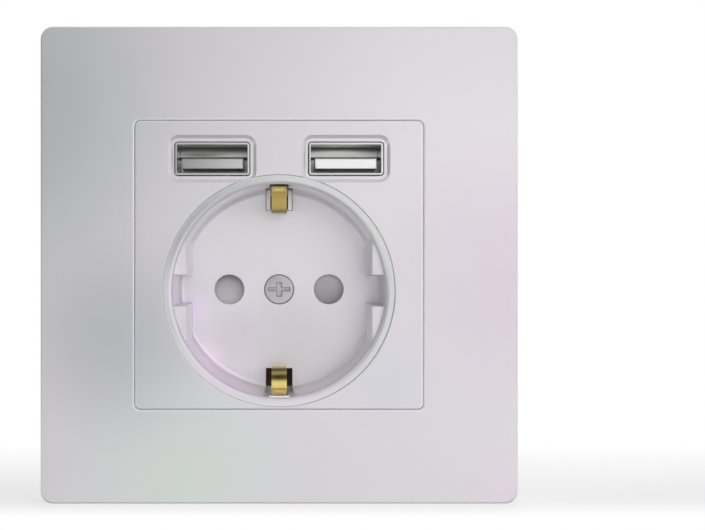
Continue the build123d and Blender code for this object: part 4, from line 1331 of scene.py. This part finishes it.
def white_world():
    """White to the lens; a dim room that lights; a card, dark to bright, that gloss mirrors."""
    world = bpy.data.worlds.new("studio")
    bpy.context.scene.world = world
    world.use_nodes = True
    tree = world.node_tree
    tree.nodes.clear()
    path = add(tree, "ShaderNodeLightPath").outputs
    place = add(tree, "ShaderNodeTexCoord").outputs["Generated"]
    toward = fed(tree, add(tree, "ShaderNodeSeparateXYZ"), place).outputs
    mirrors = number(tree, "MAXIMUM", path["Is Transmission Ray"], path["Is Glossy Ray"])
    behind = between(tree, toward["Y"], 0.0, 1.0, *BEHIND_EDGE)
    mirrored = number(tree, "MULTIPLY", mirrors, behind)
    seen = number(tree, "MAXIMUM", path["Is Camera Ray"], mirrored)
    lit = shared(tree, mirrors, dim_room(tree, toward), slanted_card(tree, place, toward))
    surface = shared(tree, seen, lit, background(tree, WHITE))
    fed(tree, add(tree, "ShaderNodeOutputWorld"), surface)


white_world()
print("world:", bpy.context.scene.world.name)

# %% [markdown]
# ## Soft lamps
# A flat white product is lit from the front. A large soft box hangs behind the lens, a small one
# stands close on the right and warms that side, a low strip on the floor lifts the upper wall of
# the recess, one hangs above, and one lights the back. One big lamp would be simpler, but the
# recess would drown in its own shade. The front ones are hidden from mirrored light, because the
# card already stands for them there.

# %% Lamps
# Each lamp: its place and size in metres, its watts, its colour, and whether gloss mirrors it.
LAMPS = {
    "key_box": ((0.085, -0.145, 0.03), (0.05, 0.08), 0.045, (1.0, 0.975, 0.99), False),
    "front_box": ((0.02, -0.55, 0.03), (0.30, 0.30), 1.20, (1.0, 1.0, 1.0), False),
    "low_box": ((0.0, -0.20, -0.035), (0.30, 0.05), 0.035, (1.0, 1.0, 1.0), False),
    "top_box": ((0.05, -0.25, 0.50), (0.40, 0.40), 0.12, (1.0, 1.0, 1.0), False),
    "back_box": ((0.10, 0.45, 0.30), (0.50, 0.40), 1.20, (1.0, 1.0, 1.0), True),
}


def soft_box(name, place, size, watts, colour, mirrored, aim):
    """One flat lamp, turned to its aim and hidden from the lens."""
    lamp = bpy.data.lights.new(name, "AREA")
    lamp.shape = "RECTANGLE"
    lamp.size, lamp.size_y = size
    lamp.energy = watts
    lamp.color = colour
    box = bpy.data.objects.new(name, lamp)
    box.location = place
    box.rotation_euler = (aim - Vector(place)).to_track_quat("-Z", "Y").to_euler()
    box.visible_camera = False
    box.visible_glossy = mirrored
    bpy.context.scene.collection.objects.link(box)


face_centre = Vector((0.0, cad_low.y, 0.0))
for name, (place, size, watts, colour, mirrored) in LAMPS.items():
    soft_box(name, place, size, watts, colour, mirrored, face_centre)
print("lamps:", list(LAMPS))

# %% [markdown]
# ## Camera
# The picture is taken square on, from about a foot away, with the socket left of the middle. The
# camera could be turned to place it there, but then the uprights would lean. So it looks straight
# at the face, and the picture is moved sideways by the camera's shift.

# %% Camera
IMAGE_W = 705
FOCAL_PX = 1555.0
AXIS_PX = 279.15
LENS_TO_FACE = 0.280
SENSOR = 36.0

eye = bpy.data.cameras.new("camera")
eye.sensor_width = SENSOR
eye.lens = FOCAL_PX / IMAGE_W * SENSOR
eye.shift_x = (IMAGE_W / 2 - AXIS_PX) / IMAGE_W
camera = bpy.data.objects.new("camera", eye)
camera.location = (0.0, cad_low.y - LENS_TO_FACE, 0.0)
camera.rotation_euler = (math.radians(90), 0.0, 0.0)
bpy.context.scene.collection.objects.link(camera)
bpy.context.scene.camera = camera
bpy.context.scene.view_settings.view_transform = "Standard"
print("lens", round(eye.lens, 1), "mm, shift", round(eye.shift_x, 3))
